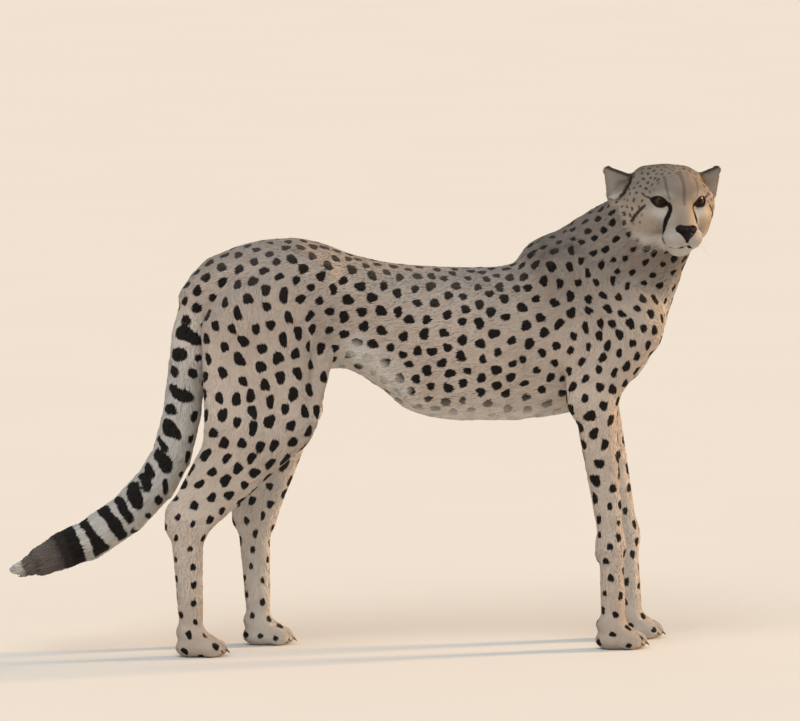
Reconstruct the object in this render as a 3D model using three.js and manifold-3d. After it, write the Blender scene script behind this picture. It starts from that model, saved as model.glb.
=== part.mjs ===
// A standing cheetah at life size: head turned back over the right shoulder line, tail hanging in a
// long curve behind, all four paws on one level floor. Millimetres, +X towards the chest, +Y to the
// animal's left, +Z up. The flesh is described by fields, which are functions that are negative
// inside the body, and each named part is a stack of rings pushed out to the surface of its field.
import * as THREE from "three";
import { mergeVertices } from "three/addons/utils/BufferGeometryUtils.js";
import Module from "manifold-3d";

const wasm = await Module();
wasm.setup();

// ---------------------------------------------------------------- driving sizes
const GAP = 0.3; // what parts that touch keep between them
const FLOOR_FLAT = 0; // level of the soles

// The trunk's outline: x along the spine, height of back and belly line, half width.
const TRUNK = [
  { x: -372, back: 655, belly: 594, half: 30 },
  { x: -345, back: 688, belly: 548, half: 52 },
  { x: -305, back: 711, belly: 514, half: 72 },
  { x: -255, back: 722, belly: 500, half: 82 },
  { x: -205, back: 724, belly: 497, half: 83 },
  { x: -155, back: 714, belly: 496, half: 78 },
  { x: -105, back: 696, belly: 492, half: 75 },
  { x: -50, back: 682, belly: 460, half: 82 },
  { x: 0, back: 675, belly: 422, half: 90 },
  { x: 60, back: 671, belly: 404, half: 96 },
  { x: 120, back: 669, belly: 400, half: 98 },
  { x: 180, back: 674, belly: 400, half: 94 },
  { x: 215, back: 696, belly: 403, half: 89 },
  { x: 250, back: 712, belly: 407, half: 83 },
  { x: 300, back: 716, belly: 418, half: 74 },
  { x: 350, back: 702, belly: 440, half: 65 },
  { x: 400, back: 668, belly: 480, half: 52 },
  { x: 428, back: 630, belly: 530, half: 34 },
];
const TRUNK_EGG = 0.14; // how much wider the trunk is above its middle than below

// Joints of the legs as [forward, outward from the midline, up].
const LEGS = {
  right: {
    side: -1,
    hip: [-292, 60, 596],
    knee: [-226, 82, 402],
    hock: [-404, 78, 232],
    hindPaw: [-388, 76, 0],
    scapula: [262, 58, 656],
    shoulder: [382, 70, 566],
    elbow: [304, 80, 440],
    wrist: [344, 74, 182],
    forePaw: [354, 72, 0],
  },
  left: {
    side: 1,
    hip: [-292, 60, 596],
    knee: [-198, 82, 402],
    hock: [-266, 78, 226],
    hindPaw: [-250, 76, 0],
    scapula: [266, 58, 656],
    shoulder: [394, 70, 566],
    elbow: [330, 80, 440],
    wrist: [392, 74, 182],
    forePaw: [406, 72, 0],
  },
};

// The tail's centreline and radius from root to tip.
const TAIL = [
  { at: [-340, 0, 650], radius: 37 },
  { at: [-368, -3, 616], radius: 36 },
  { at: [-386, -8, 560], radius: 34 },
  { at: [-396, -10, 484], radius: 33 },
  { at: [-404, -10, 417], radius: 33.5 },
  { at: [-421, -10, 349], radius: 34.5 },
  { at: [-448, -10, 300], radius: 35.5 },
  { at: [-499, -10, 246], radius: 35.5 },
  { at: [-564, -10, 202], radius: 34 },
  { at: [-604, -10, 186], radius: 31.5 },
  { at: [-644, -10, 168], radius: 25 },
  { at: [-676, -10, 154], radius: 14 },
  { at: [-702, -10, 149], radius: 5 },
];

// The head's own frame: origin midway between the eyes, +X out of the face, +Y left, +Z up.
const HEAD_AT = [459, -110, 790];
const HEAD_TURN = THREE.MathUtils.degToRad(-78);
const HEAD_NOD = THREE.MathUtils.degToRad(9);
const HEAD_ROLL = THREE.MathUtils.degToRad(-1.7);
const EYE = { at: [-8, 34.3, 0], radius: 14.5, outward: 22, lid: 2.4 };
// The gap between the lids: corners and the pulls of its two curves, as [outward, up] from the eye.
const LIDS = { inner: [-15, -2.4], upper: [-0.5, 16.7], outer: [14, 2.2], lower: [-0.5, -14.5] };
const MOUTH = [
  [48.8, 0.4, -64.8],
  [45.9, 8.6, -69.9],
  [37.3, 23.8, -71.3],
  [23.3, 30.3, -65.3],
  [8, 28.5, -57],
];
const LIP_SPLIT = [[51.2, 0, -52.4], [50.8, 0, -59.4], [48, 0, -66.5]];
const EARS = {
  right: { side: -1, at: [-79, 79, 7], lean: 45, outward: 26 },
  left: { side: 1, at: [-79, 75, 7], lean: 38, outward: 4 },
};
const EAR = { low: -29, high: 44, wide: 30, tip: 9, thin: 0.42, wall: 3.4 };
// The pad of the nose: its middle, its two wings and its foot, each as a place and a size.
const NOSE = {
  middle: [[48, 0, -43.5], [9.5, 12, 9]],
  wing: [[45, 13, -38.5], [5.6, 5.6, 5.6]],
  foot: [[51.5, 0, -52], [4, 4, 4]],
  nostril: [[54, 10, -44.5], [6, 4.5, 3.2]],
};

// ---------------------------------------------------------------- fields
const mix = (a, b, t) => a + (b - a) * t;
const clamp = (v, low, high) => Math.min(Math.max(v, low), high);
const blend = (a, b, k) => {
  const h = Math.max(k - Math.abs(a - b), 0) / k;
  return Math.min(a, b) - (h * h * k) / 4;
};

// Several masses blended into one another over k millimetres.
const flesh = (k, ...fields) => (x, y, z) =>
  fields.reduce((d, field) => blend(d, field(x, y, z), k), Infinity);

// An ellipsoid, pitched nose down by an angle about the cross axis.
function ball(at, size, pitch = 0) {
  const angle = THREE.MathUtils.degToRad(pitch);
  const [c, s] = [Math.cos(angle), Math.sin(angle)];
  return (x, y, z) => {
    const [dx, dy, dz] = [x - at[0], y - at[1], z - at[2]];
    const u = c * dx - s * dz;
    const w = s * dx + c * dz;
    const k0 = Math.hypot(u / size[0], dy / size[1], w / size[2]);
    const k1 = Math.hypot(u / size[0] ** 2, dy / size[1] ** 2, w / size[2] ** 2);
    return k0 < 1e-6 ? -Math.min(...size) : (k0 * (k0 - 1)) / k1;
  };
}

// A round cone between two points, its cross axis scaled by flat.
function limb(from, to, r0, r1, flat = 1) {
  const axis = to.map((v, i) => v - from[i]);
  const length2 = axis.reduce((sum, v) => sum + v * v, 0);
  return (x, y, z) => {
    const d = [x - from[0], y - from[1], z - from[2]];
    const t = clamp((d[0] * axis[0] + d[1] * axis[1] + d[2] * axis[2]) / length2, 0, 1);
    const far = Math.hypot(d[0] - t * axis[0], (d[1] - t * axis[1]) / flat, d[2] - t * axis[2]);
    return far - mix(r0, r1, t);
  };
}

// Smooth value of one column of a station table at x.
function along(table, key, x) {
  const last = table.length - 1;
  let i = 0;
  while (i < last - 1 && x > table[i + 1].x) i++;
  const slope = (j) => {
    const [a, b] = [table[Math.max(j - 1, 0)], table[Math.min(j + 1, last)]];
    return (b[key] - a[key]) / (b.x - a.x);
  };
  const [p, q] = [table[i], table[i + 1]];
  const step = q.x - p.x;
  const t = clamp((x - p.x) / step, 0, 1);
  const [t2, t3] = [t * t, t * t * t];
  return (
    p[key] * (2 * t3 - 3 * t2 + 1) +
    q[key] * (3 * t2 - 2 * t3) +
    step * (slope(i) * (t3 - 2 * t2 + t) + slope(i + 1) * (t3 - t2))
  );
}

function trunkTube(x, y, z) {
  const inside = clamp(x, TRUNK[0].x, TRUNK.at(-1).x);
  const back = along(TRUNK, "back", inside);
  const belly = along(TRUNK, "belly", inside);
  const high = (back - belly) / 2;
  const up = z - (back + belly) / 2;
  const wide = along(TRUNK, "half", inside) * (1 + TRUNK_EGG * clamp(up / high, -1, 1));
  const k0 = Math.hypot(y / wide, up / high);
  const k1 = Math.hypot(y / wide ** 2, up / high ** 2);
  const d = k0 < 1e-6 ? -Math.min(wide, high) : (k0 * (k0 - 1)) / k1;
  const past = x - inside;
  return past === 0 ? d : Math.hypot(Math.max(d, 0), past);
}

const shift = (p, dx, dOut, dz) => [p[0] + dx, p[1] + dOut, p[2] + dz];

// Muscles of one side, placed from its joints.
function hindField(leg) {
  const p = (joint, dx = 0, dOut = 0, dz = 0) => {
    const [x, out, z] = shift(leg[joint], dx, dOut, dz);
    return [x, leg.side * out, z];
  };
  return flesh(
    22,
    limb(p("hip", 22, 0, -22), p("knee", -6, -4, 6), 90, 47, 0.5), // thigh
    limb(p("hip", -36, -8, -30), p("knee", -92, -6, 4), 48, 56, 0.6), // hamstrings
    limb(p("hip", 128, -6, -76), p("knee", 36, -6, 14), 22, 19, 0.5), // fold of the flank
    limb(p("knee", -80, -4, -24), p("hock", -6, 0, 26), 62, 25, 0.58), // calf
    limb(p("knee", -4, -2, -6), p("hock", 14, 0, 0), 44, 27, 0.68), // shin
    limb(p("hock", -14, 0, 18), p("hock", -20, 0, 0), 20, 17, 0.8), // point of the hock
    limb(p("hock"), p("hindPaw", -8, 0, 46), 31, 20, 0.76), // cannon
  );
}

function foreField(leg) {
  const p = (joint, dx = 0, dOut = 0, dz = 0) => {
    const [x, out, z] = shift(leg[joint], dx, dOut, dz);
    return [x, leg.side * out, z];
  };
  return flesh(
    20,
    limb(p("scapula"), p("shoulder", 0, 0, 0), 42, 52, 0.55), // shoulder blade
    limb(p("shoulder", -2, 4, -4), p("elbow", 8, 0, 10), 54, 42, 0.58), // upper arm
    limb(p("scapula", 34, 8, -70), p("elbow", -2, 0, 30), 52, 38, 0.52), // triceps
    ball(p("elbow", -8, 0, -4), [27, 20, 27]), // point of the elbow
    limb(p("elbow", 12, 0, -8), p("wrist", 0, 0, 20), 39, 23, 0.78), // forearm
    ball(p("wrist"), [23, 19, 30]), // wrist
    limb(p("wrist", 2, 0, -8), p("forePaw", -4, 0, 46), 23, 21, 0.95), // pastern
  );
}

const torsoField = flesh(
  26,
  trunkTube,
  ball([388, 0, 566], [50, 50, 84]), // breast
  limb([372, -2, 600], [408, -14, 660], 62, 52, 0.9), // root of the throat
  limb([300, 0, 640], [352, -6, 676], 78, 66, 0.86), // root of the neck
  limb([236, 22, 676], [290, 34, 640], 34, 40, 0.6), // shoulder blade tops
  limb([236, -22, 676], [290, -34, 640], 34, 40, 0.6),
  limb([-330, 0, 646], [-368, -3, 616], 40, 37, 0.95), // root of the tail
);

const neckField = flesh(
  30,
  limb([296, 0, 648], [356, -10, 692], 86, 76, 0.78),
  limb([356, -10, 692], [404, -32, 734], 76, 66, 0.86),
  limb([404, -32, 734], [444, -46, 762], 66, 52, 0.95),
  limb([404, 2, 704], [466, -24, 768], 60, 48, 0.95), // outer side of the turn
  limb([398, -10, 588], [444, -40, 706], 54, 46, 0.9), // throat
);

const pair = (make) => [make(1), make(-1)];

const headField = flesh(
  13,
  ball([-52, 0, 4], [54, 52, 43]), // skull
  ...pair((side) => ball([-72, 31 * side, 2], [46, 36, 43.5])), // broad crown
  ball([-70, 0, 5], [46, 40, 42.5]),
  ball([-20, 0, 15], [41, 46, 34]), // forehead
  ...pair((side) => ball([-44, 54 * side, -18], [36, 28, 38])), // temples and cheeks
  ...pair((side) => ball([-20, 38 * side, -20], [31, 25, 26])), // cheekbones
  ...pair((side) => ball([-33, 44 * side, -45], [36, 28, 34])), // jaw muscles and ruff
  ...pair((side) => limb([2, 16 * side, 18], [-12, 41 * side, 16], 9, 7)), // brows
  limb([-6, 0, 5], [32, 0, -36], 23, 16.5), // bridge of the nose
  limb([-2, 0, -35], [24, 0, -53], 33, 26, 1.12), // muzzle
  ...pair((side) => ball([32, 15.5 * side, -57], [21, 19.5, 17.5])), // whisker pads
  ball([24, 0, -78], [18, 18, 12]), // chin
  limb([-40, 0, -56], [15, 0, -75], 29, 18, 1.1), // lower jaw
);

function tailField(x, y, z) {
  let nearest = Infinity;
  for (let i = 1; i < TAIL.length; i++) {
    const [a, b] = [TAIL[i - 1], TAIL[i]];
    nearest = Math.min(nearest, limb(a.at, b.at, a.radius, b.radius)(x, y, z));
  }
  return nearest;
}

// ---------------------------------------------------------------- solids
function solidOf(geometry) {
  const bare = geometry.index ? geometry.toNonIndexed() : geometry.clone();
  for (const name of Object.keys(bare.attributes)) {
    if (name !== "position") bare.deleteAttribute(name);
  }
  const merged = mergeVertices(bare, 1e-4);
  const corners = new Uint32Array(merged.index.array);
  const build = () =>
    new wasm.Manifold(
      new wasm.Mesh({
        numProp: 3,
        vertProperties: merged.attributes.position.array,
        triVerts: corners,
      }),
    );
  const made = build();
  if (made.volume() > 0) return made;
  corners.reverse();
  return build();
}

function geometryOf(solid) {
  const { vertProperties, triVerts } = solid.getMesh();
  const geometry = new THREE.BufferGeometry();
  geometry.setAttribute("position", new THREE.BufferAttribute(vertProperties, 3));
  geometry.setIndex(new THREE.BufferAttribute(triVerts, 1));
  const flat = geometry.toNonIndexed();
  flat.computeVertexNormals();
  return flat;
}

// Distance from a ring's centre to the field's surface along one direction.
function reachOf(field, centre, direction, limit) {
  const value = (r) => field(...centre.map((v, i) => v + r * direction[i]));
  const step = 4;
  let r = 0;
  while (r < limit && value(r + step) < 0) r += step;
  if (r >= limit) return limit;
  let [low, high] = [r, r + step];
  for (let i = 0; i < 14; i++) {
    const middle = (low + high) / 2;
    if (value(middle) < 0) low = middle;
    else high = middle;
  }
  return Math.max(low, 1);
}

// A closed skin over rings. Each frame is { centre, u, v }, and grow swells it evenly.
function loft(field, frames, sides, { limit = 400, grow = 0 } = {}) {
  const points = [];
  const faces = [];
  for (const { centre, u, v } of frames) {
    for (let i = 0; i < sides; i++) {
      const angle = (2 * Math.PI * i) / sides;
      const direction = u.map((n, k) => Math.cos(angle) * n + Math.sin(angle) * v[k]);
      const r = reachOf(field, centre, direction, limit) + grow;
      points.push(...centre.map((n, k) => n + r * direction[k]));
    }
  }
  for (let j = 0; j + 1 < frames.length; j++) {
    for (let i = 0; i < sides; i++) {
      const [a, b] = [j * sides + i, j * sides + ((i + 1) % sides)];
      // The faces' diagonals run the opposite way on the two sides, as a mirror has them.
      if (2 * i < sides) faces.push(a, b, a + sides, b, b + sides, a + sides);
      else faces.push(a, b, b + sides, a, b + sides, a + sides);
    }
  }
  const middle = points.length / 3;
  const end = (frames.length - 1) * sides;
  points.push(...frames[0].centre, ...frames.at(-1).centre);
  for (let i = 0; i < sides; i++) {
    const next = (i + 1) % sides;
    faces.push(middle, next, i, middle + 1, end + i, end + next);
  }
  const geometry = new THREE.BufferGeometry();
  geometry.setAttribute("position", new THREE.Float32BufferAttribute(points, 3));
  geometry.setIndex(faces);
  return solidOf(geometry);
}

const spread = (from, to, count) =>
  Array.from({ length: count }, (_, i) => mix(from, to, i / (count - 1)));

// Levels from a rounded top downwards, closest together at the top.
const domed = (top, bottom, count) =>
  spread(0, 1, count).map((t) => mix(top, bottom, t ** 1.7));

// Upright rings across the body, for the trunk.
const crossRings = (levels, heightAt) =>
  levels.map((x) => ({ centre: [x, 0, heightAt(x)], u: [0, 0, 1], v: [0, 1, 0] }));

// Level rings down a leg, centred on a line through [x, y, z] points.
function levelRings(levels, line) {
  return levels.map((z) => {
    let i = 0;
    while (i < line.length - 2 && z < line[i + 1][2]) i++;
    const t = (z - line[i][2]) / (line[i + 1][2] - line[i][2]);
    const centre = [mix(line[i][0], line[i + 1][0], t), mix(line[i][1], line[i + 1][1], t), z];
    return { centre, u: [1, 0, 0], v: [0, 1, 0] };
  });
}

// Rings square to a curve that stays near the plane across Y.
function curveRings(curve, shares) {
  return shares.map((share) => {
    const centre = curve.getPointAt(share).toArray();
    const forward = curve.getTangentAt(share);
    const u = new THREE.Vector3().crossVectors(forward, new THREE.Vector3(0, 1, 0)).normalize();
    const v = new THREE.Vector3().crossVectors(u, forward).normalize();
    return { centre, u: u.toArray(), v: v.toArray() };
  });
}

// A block that takes in everything, for cutting at a level or along a plane.
function block(low, high) {
  const size = high.map((v, i) => v - low[i]);
  const middle = high.map((v, i) => (v + low[i]) / 2);
  return solidOf(new THREE.BoxGeometry(...size).translate(...middle));
}

function orb(at, size, across = 12, down = 8, turn = new THREE.Euler()) {
  const geometry = new THREE.SphereGeometry(1, across, down);
  geometry.scale(...size);
  geometry.applyMatrix4(new THREE.Matrix4().makeRotationFromEuler(turn));
  geometry.translate(...at);
  return solidOf(geometry);
}

const largest = (solid) =>
  solid.decompose().reduce((best, piece) => (piece.volume() > best.volume() ? piece : best));

// ---------------------------------------------------------------- materials
const coat = new THREE.MeshStandardMaterial({ color: 0xc4ae8c, roughness: 0.9 });
const eyeGlass = new THREE.MeshStandardMaterial({ color: 0x8a4a1c, roughness: 0.15 });

const cheetah = new THREE.Group();
function add(name, solid, material = coat) {
  const mesh = new THREE.Mesh(geometryOf(largest(solid)), material);
  mesh.name = name;
  cheetah.add(mesh);
}

// How many sides the rings of each part have.
const SIDES = {
  torso: 26,
  neck: 22,
  tail: 14,
  head: 32,
  ear: 14,
  thigh: 20,
  shank: 16,
  forearm: 14,
  foot: 12,
};

// ---------------------------------------------------------------- trunk, neck and tail
const torsoRings = crossRings(
  [-371, -358, ...spread(-340, 400, 26), 422, 440],
  (x) => (along(TRUNK, "back", x) + along(TRUNK, "belly", x)) / 2,
);
const makeTorso = (grow) => loft(torsoField, torsoRings, SIDES.torso, { grow });
const torso = makeTorso(0);
const torsoSpace = makeTorso(GAP);

const neckCurve = new THREE.CatmullRomCurve3(
  [[244, 8, 596], [300, 0, 646], [356, -12, 692], [406, -22, 738], [452, -50, 786]].map(
    (p) => new THREE.Vector3(...p),
  ),
);
const neckRings = curveRings(neckCurve, spread(0, 1, 13));
const makeNeck = (grow) => loft(neckField, neckRings, SIDES.neck, { limit: 130, grow });

const tailCurve = new THREE.CatmullRomCurve3(TAIL.map(({ at }) => new THREE.Vector3(...at)));
const tailLength = tailCurve.getLength();
const TAIL_PARTS = [
  { name: "tail_root", from: 0.02, to: 0.34, rings: 10 },
  { name: "tail_middle", from: 0.34, to: 0.68, rings: 9 },
  { name: "tail_end", from: 0.68, to: 1, rings: 12 },
];
const makeTail = ({ from, to, rings }, grow) =>
  loft(tailField, curveRings(tailCurve, spread(from, to - GAP / tailLength, rings)), SIDES.tail, {
    limit: 60,
    grow,
  });

// ---------------------------------------------------------------- head
const headPlace = new THREE.Matrix4()
  .makeRotationFromEuler(new THREE.Euler(HEAD_ROLL, HEAD_NOD, HEAD_TURN, "ZYX"))
  .setPosition(...HEAD_AT);
const placed = (solid) => solid.transform(headPlace.toArray());

const HEAD_LEVELS = [-115, -112, -105, ...spread(-95, -24, 7), ...spread(-16, 30, 9), 37, 43, 48, 51, 52.6];
const headRings = HEAD_LEVELS.map((x) => ({
  centre: [x, 0, x < -20 ? -2 : mix(-2, -54, (x + 20) / 73)],
  u: [0, 0, 1],
  v: [0, 1, 0],
}));
const makeHead = (grow) => loft(headField, headRings, SIDES.head, { limit: 130, grow });

// A closed tube with a flat section that follows points, for cutting a groove.
function groove(points, wide, deep) {
  const path = new THREE.CatmullRomCurve3(points.map((p) => new THREE.Vector3(...p)));
  const section = new THREE.Shape();
  section.moveTo(-wide / 2, -deep / 2);
  section.lineTo(wide / 2, -deep / 2);
  section.lineTo(wide / 2, deep / 2);
  section.lineTo(-wide / 2, deep / 2);
  section.closePath();
  return solidOf(new THREE.ExtrudeGeometry(section, { steps: 14, extrudePath: path }));
}

// The almond between the lids, run out along the eye's own direction.
function eyeOpening(side) {
  const almond = new THREE.Shape();
  almond.moveTo(...LIDS.inner);
  almond.quadraticCurveTo(...LIDS.upper, ...LIDS.outer);
  almond.quadraticCurveTo(...LIDS.lower, ...LIDS.inner);
  const slot = new THREE.ExtrudeGeometry(almond, { depth: 40, bevelEnabled: false, curveSegments: 6 });
  // The shape's X runs from the inner corner outwards, its Y up, its depth out of the eye.
  const out = THREE.MathUtils.degToRad(EYE.outward) * side;
  const forward = new THREE.Vector3(Math.cos(out), Math.sin(out), 0);
  const up = new THREE.Vector3(0, 0, 1);
  const across = new THREE.Vector3().crossVectors(up, forward).multiplyScalar(side);
  slot.applyMatrix4(new THREE.Matrix4().makeBasis(across, up, forward));
  return solidOf(slot.translate(...eyeCentre(side)));
}

const eyeCentre = (side) => [EYE.at[0], EYE.at[1] * side, EYE.at[2]];
const eyeBall = (side, grow) => orb(eyeCentre(side), Array(3).fill(EYE.radius + grow), 16, 12);

const sided = ([[x, y, z], size], side, across) => orb([x, y * side, z], size, across, across - 2);

// The pad of the nose: a rounded wedge drawn over its middle, its wings and its foot.
function makeNose() {
  const wings = [-1, 1].map((side) => sided(NOSE.wing, side, 10));
  return wasm.Manifold.hull([sided(NOSE.middle, 1, 14), ...wings, sided(NOSE.foot, 1, 10)]);
}

function makeEyeHead() {
  let head = makeHead(0);
  for (const side of [-1, 1]) head = head.add(eyeBall(side, EYE.lid));
  head = head.add(makeNose());
  for (const side of [-1, 1]) {
    const nostril = sided(NOSE.nostril, side, 8);
    const mouth = groove(MOUTH.map(([x, y, z]) => [x, y * side, z]), 2.6, 10);
    head = head.subtract(eyeBall(side, GAP)).subtract(eyeOpening(side));
    head = head.subtract(nostril).subtract(mouth);
  }
  return head.subtract(groove(LIP_SPLIT, 2, 6));
}

// A rounded, tapering ear, upright in its own frame with its mouth towards +X.
const earField = (inset) => {
  const { low, high, wide, tip } = EAR;
  const shape = limb([0, 0, low + wide], [0, 0, high - tip], wide - inset, tip - inset);
  return (x, y, z) => shape((x - inset) / EAR.thin, y, z);
};
function makeEar({ side, at, lean, outward }, grow) {
  const tilt = -side * THREE.MathUtils.degToRad(lean);
  const turn = side * THREE.MathUtils.degToRad(outward);
  const place = new THREE.Matrix4()
    .makeRotationFromEuler(new THREE.Euler(tilt, 0, turn, "ZYX"))
    .setPosition(at[0], at[1] * side, at[2]);
  const rings = (inset) =>
    [0.02, 0.1, 0.24, 0.42, 0.6, 0.76, 0.88, 0.95, 0.99].map((t) => ({
      centre: [inset, 0, mix(EAR.low + inset, EAR.high - inset, t)],
      u: [1, 0, 0],
      v: [0, 1, 0],
    }));
  const outer = loft(earField(0), rings(0), SIDES.ear, { limit: 60, grow });
  const hollow = loft(earField(EAR.wall), rings(EAR.wall), SIDES.ear, { limit: 60 });
  return (grow ? outer : outer.subtract(hollow)).transform(place.toArray());
}

const headSpace = placed(makeHead(GAP));
const neckSpace = makeNeck(GAP);
add("torso", torso);
add("neck", makeNeck(0).subtract(torsoSpace).subtract(headSpace));
add("head", placed(makeEyeHead()));
for (const [word, ear] of Object.entries(EARS)) {
  add(`eye_${word}`, placed(eyeBall(ear.side, 0)), eyeGlass);
  add(`ear_${word}`, placed(makeEar(ear, 0)).subtract(headSpace).subtract(neckSpace));
}
const tailSpace = makeTail({ from: 0.02, to: 0.34, rings: 10 }, GAP);
for (const part of TAIL_PARTS) {
  const piece = makeTail(part, 0);
  add(part.name, part === TAIL_PARTS[0] ? piece.subtract(torsoSpace) : piece, coat);
}

// ---------------------------------------------------------------- legs
// Four toes in an arc, each with a blunt claw, round a low instep and pad.
const PAW = { top: 56, toe: 12, spacing: 12.5, reach: 34, claw: 14, droop: 0.45 };
const pawField = ([x, y]) =>
  flesh(
    10,
    ball([x, y, 32], [37, 25, 22], 28), // instep
    ball([x - 5, y, 17], [31, 25, 20]), // heel pad
    ball([x + 18, y, 17], [24, 27, 17]), // roots of the toes
  );
function withToes(foot, [x, y]) {
  for (const place of [-1.5, -0.5, 0.5, 1.5]) {
    const inner = Math.abs(place) < 1;
    const across = y + place * PAW.spacing;
    const front = x + PAW.reach - (inner ? 0 : 11);
    const toe = orb([front, across, 15], [20, PAW.toe, 15.5], 8, 6);
    const tip = new THREE.CylinderGeometry(0.9, 3.6, PAW.claw, 5).rotateZ(-Math.PI / 2);
    const claw = solidOf(tip.rotateY(PAW.droop).translate(front + 19, across, 12));
    foot = foot.add(toe).add(claw);
  }
  return foot.intersect(aboveFloor);
}

const aboveFloor = block([-2000, -500, FLOOR_FLAT], [2000, 500, 2000]);

const stack = (field, levels, sides, line) =>
  loft(field, levelRings(levels, line), sides, { limit: 170 });
function makeFoot(legField, top, pawAt, line) {
  const levels = [...spread(top, PAW.top, 5), 46, 37, 28, 19, 9, FLOOR_FLAT];
  return withToes(stack(flesh(12, legField, pawField(pawAt)), levels, SIDES.foot, line), pawAt);
}

for (const [word, leg] of Object.entries(LEGS)) {
  const at = (joint, dx = 0, dOut = 0, dz = 0) => {
    const [x, out, z] = shift(leg[joint], dx, dOut, dz);
    return [x, leg.side * out, z];
  };
  const hind = hindField(leg);
  const hindLine = [
    at("hip", 18, 0, 70),
    at("hip", 0, 0, 10),
    at("knee", -62, 0, 0),
    at("hock", 66, 0, 76),
    at("hock", 2),
    at("hindPaw", -4, 0, PAW.top),
    at("hindPaw", 6, 0, 0),
  ];
  const shankTop = leg.knee[2] - 26;
  const cannonTop = leg.hock[2] - 34;
  const thigh = stack(hind, domed(leg.hip[2] + 66, shankTop, 13), SIDES.thigh, hindLine);
  add(`thigh_${word}`, thigh.subtract(torsoSpace).subtract(tailSpace));
  add(`shank_${word}`, stack(hind, spread(shankTop - GAP, cannonTop, 10), SIDES.shank, hindLine));
  add(`hind_foot_${word}`, makeFoot(hind, cannonTop - GAP, at("hindPaw"), hindLine));

  const fore = foreField(leg);
  const foreLine = [
    at("scapula", 2, 0, 44),
    at("scapula", 44, 8, -50),
    at("shoulder", -40, 6, -60),
    at("elbow", 10),
    at("wrist"),
    at("forePaw", -2, 0, PAW.top),
    at("forePaw", 6, 0, 0),
  ];
  const forearmTop = leg.elbow[2] - 30;
  const pasternTop = leg.wrist[2] - 22;
  const arm = stack(fore, domed(leg.scapula[2] + 40, forearmTop, 14), SIDES.thigh, foreLine);
  add(`upper_arm_${word}`, arm.subtract(torsoSpace).subtract(neckSpace));
  add(`forearm_${word}`, stack(fore, spread(forearmTop - GAP, pasternTop, 8), SIDES.forearm, foreLine));
  add(`fore_foot_${word}`, makeFoot(fore, pasternTop - GAP, at("forePaw"), foreLine));
}

// The frame's origin is the middle of the footprint, on the floor.
const bounds = new THREE.Box3().setFromObject(cheetah);
const centre = bounds.getCenter(new THREE.Vector3());
cheetah.position.set(-centre.x, -centre.y, -bounds.min.z);

export default cheetah;
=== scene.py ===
import math
from itertools import product

import bpy
import numpy as np
from mathutils import Euler, Matrix, Vector
from mathutils.kdtree import KDTree


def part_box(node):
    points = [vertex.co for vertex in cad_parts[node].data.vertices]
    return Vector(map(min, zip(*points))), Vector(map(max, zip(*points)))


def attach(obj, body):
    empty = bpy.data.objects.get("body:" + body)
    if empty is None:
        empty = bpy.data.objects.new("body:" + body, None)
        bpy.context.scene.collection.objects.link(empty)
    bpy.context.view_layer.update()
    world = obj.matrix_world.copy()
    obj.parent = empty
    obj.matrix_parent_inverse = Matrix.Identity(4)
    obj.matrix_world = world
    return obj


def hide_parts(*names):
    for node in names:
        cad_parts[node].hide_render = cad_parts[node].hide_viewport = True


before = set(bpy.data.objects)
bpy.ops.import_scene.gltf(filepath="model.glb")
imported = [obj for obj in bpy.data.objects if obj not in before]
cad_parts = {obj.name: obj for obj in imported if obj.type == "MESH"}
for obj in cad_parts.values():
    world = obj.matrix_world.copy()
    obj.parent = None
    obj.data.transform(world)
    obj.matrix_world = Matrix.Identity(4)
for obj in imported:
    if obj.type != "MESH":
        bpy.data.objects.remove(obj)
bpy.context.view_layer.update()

# A standing cheetah at life size. The forms of the body are those of the solids, worked out again here in
# the same millimetres and blended into one skin. Over it lies a coat of small tapered tufts that follow
# the lie of the hair. Skin and tufts carry the same markings, worked out from their place on the body.
# Distances to forms are negative inside and positive outside. Angles are in radians unless said.
# +X runs towards the chest, +Y to the animal's left, +Z up.

# ---------------------------------------------------------------- driving sizes, in millimetres
TRUNK = np.array([  # along the spine: x, height of the back, height of the belly, half width
    (-372, 655, 594, 30), (-345, 688, 548, 52), (-305, 711, 514, 72), (-255, 722, 500, 82),
    (-205, 724, 497, 83), (-155, 714, 496, 78), (-105, 696, 492, 75), (-50, 682, 460, 82),
    (0, 675, 422, 90), (60, 671, 404, 96), (120, 669, 400, 98), (180, 674, 400, 94),
    (215, 696, 403, 89), (250, 712, 407, 83), (300, 716, 418, 74), (350, 702, 440, 65),
    (400, 668, 480, 52), (428, 630, 530, 34),
], float)
TRUNK_EGG = 0.14  # how much wider the trunk is above its middle than below

# Joints of the legs as (forward, outward from the midline, up).
LEGS = {
    "right": dict(
        side=-1, hip=(-292, 60, 596), knee=(-226, 82, 402), hock=(-404, 78, 232), hind_paw=(-388, 76, 0),
        scapula=(262, 58, 656), shoulder=(382, 70, 566), elbow=(304, 80, 440), wrist=(344, 74, 182),
        fore_paw=(354, 72, 0),
    ),
    "left": dict(
        side=1, hip=(-292, 60, 596), knee=(-198, 82, 402), hock=(-266, 78, 226), hind_paw=(-250, 76, 0),
        scapula=(266, 58, 656), shoulder=(394, 70, 566), elbow=(330, 80, 440), wrist=(392, 74, 182),
        fore_paw=(406, 72, 0),
    ),
}
TAIL = np.array([  # centreline from root to tip and radius: x, y, z, radius
    (-340, 0, 650, 37), (-368, -3, 616, 36), (-386, -8, 560, 34), (-396, -10, 484, 33),
    (-404, -10, 417, 33.5), (-421, -10, 349, 34.5), (-448, -10, 300, 35.5), (-499, -10, 246, 35.5),
    (-564, -10, 202, 34), (-604, -10, 186, 31.5), (-644, -10, 168, 25), (-676, -10, 154, 14),
    (-702, -10, 149, 5),
], float)

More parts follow.
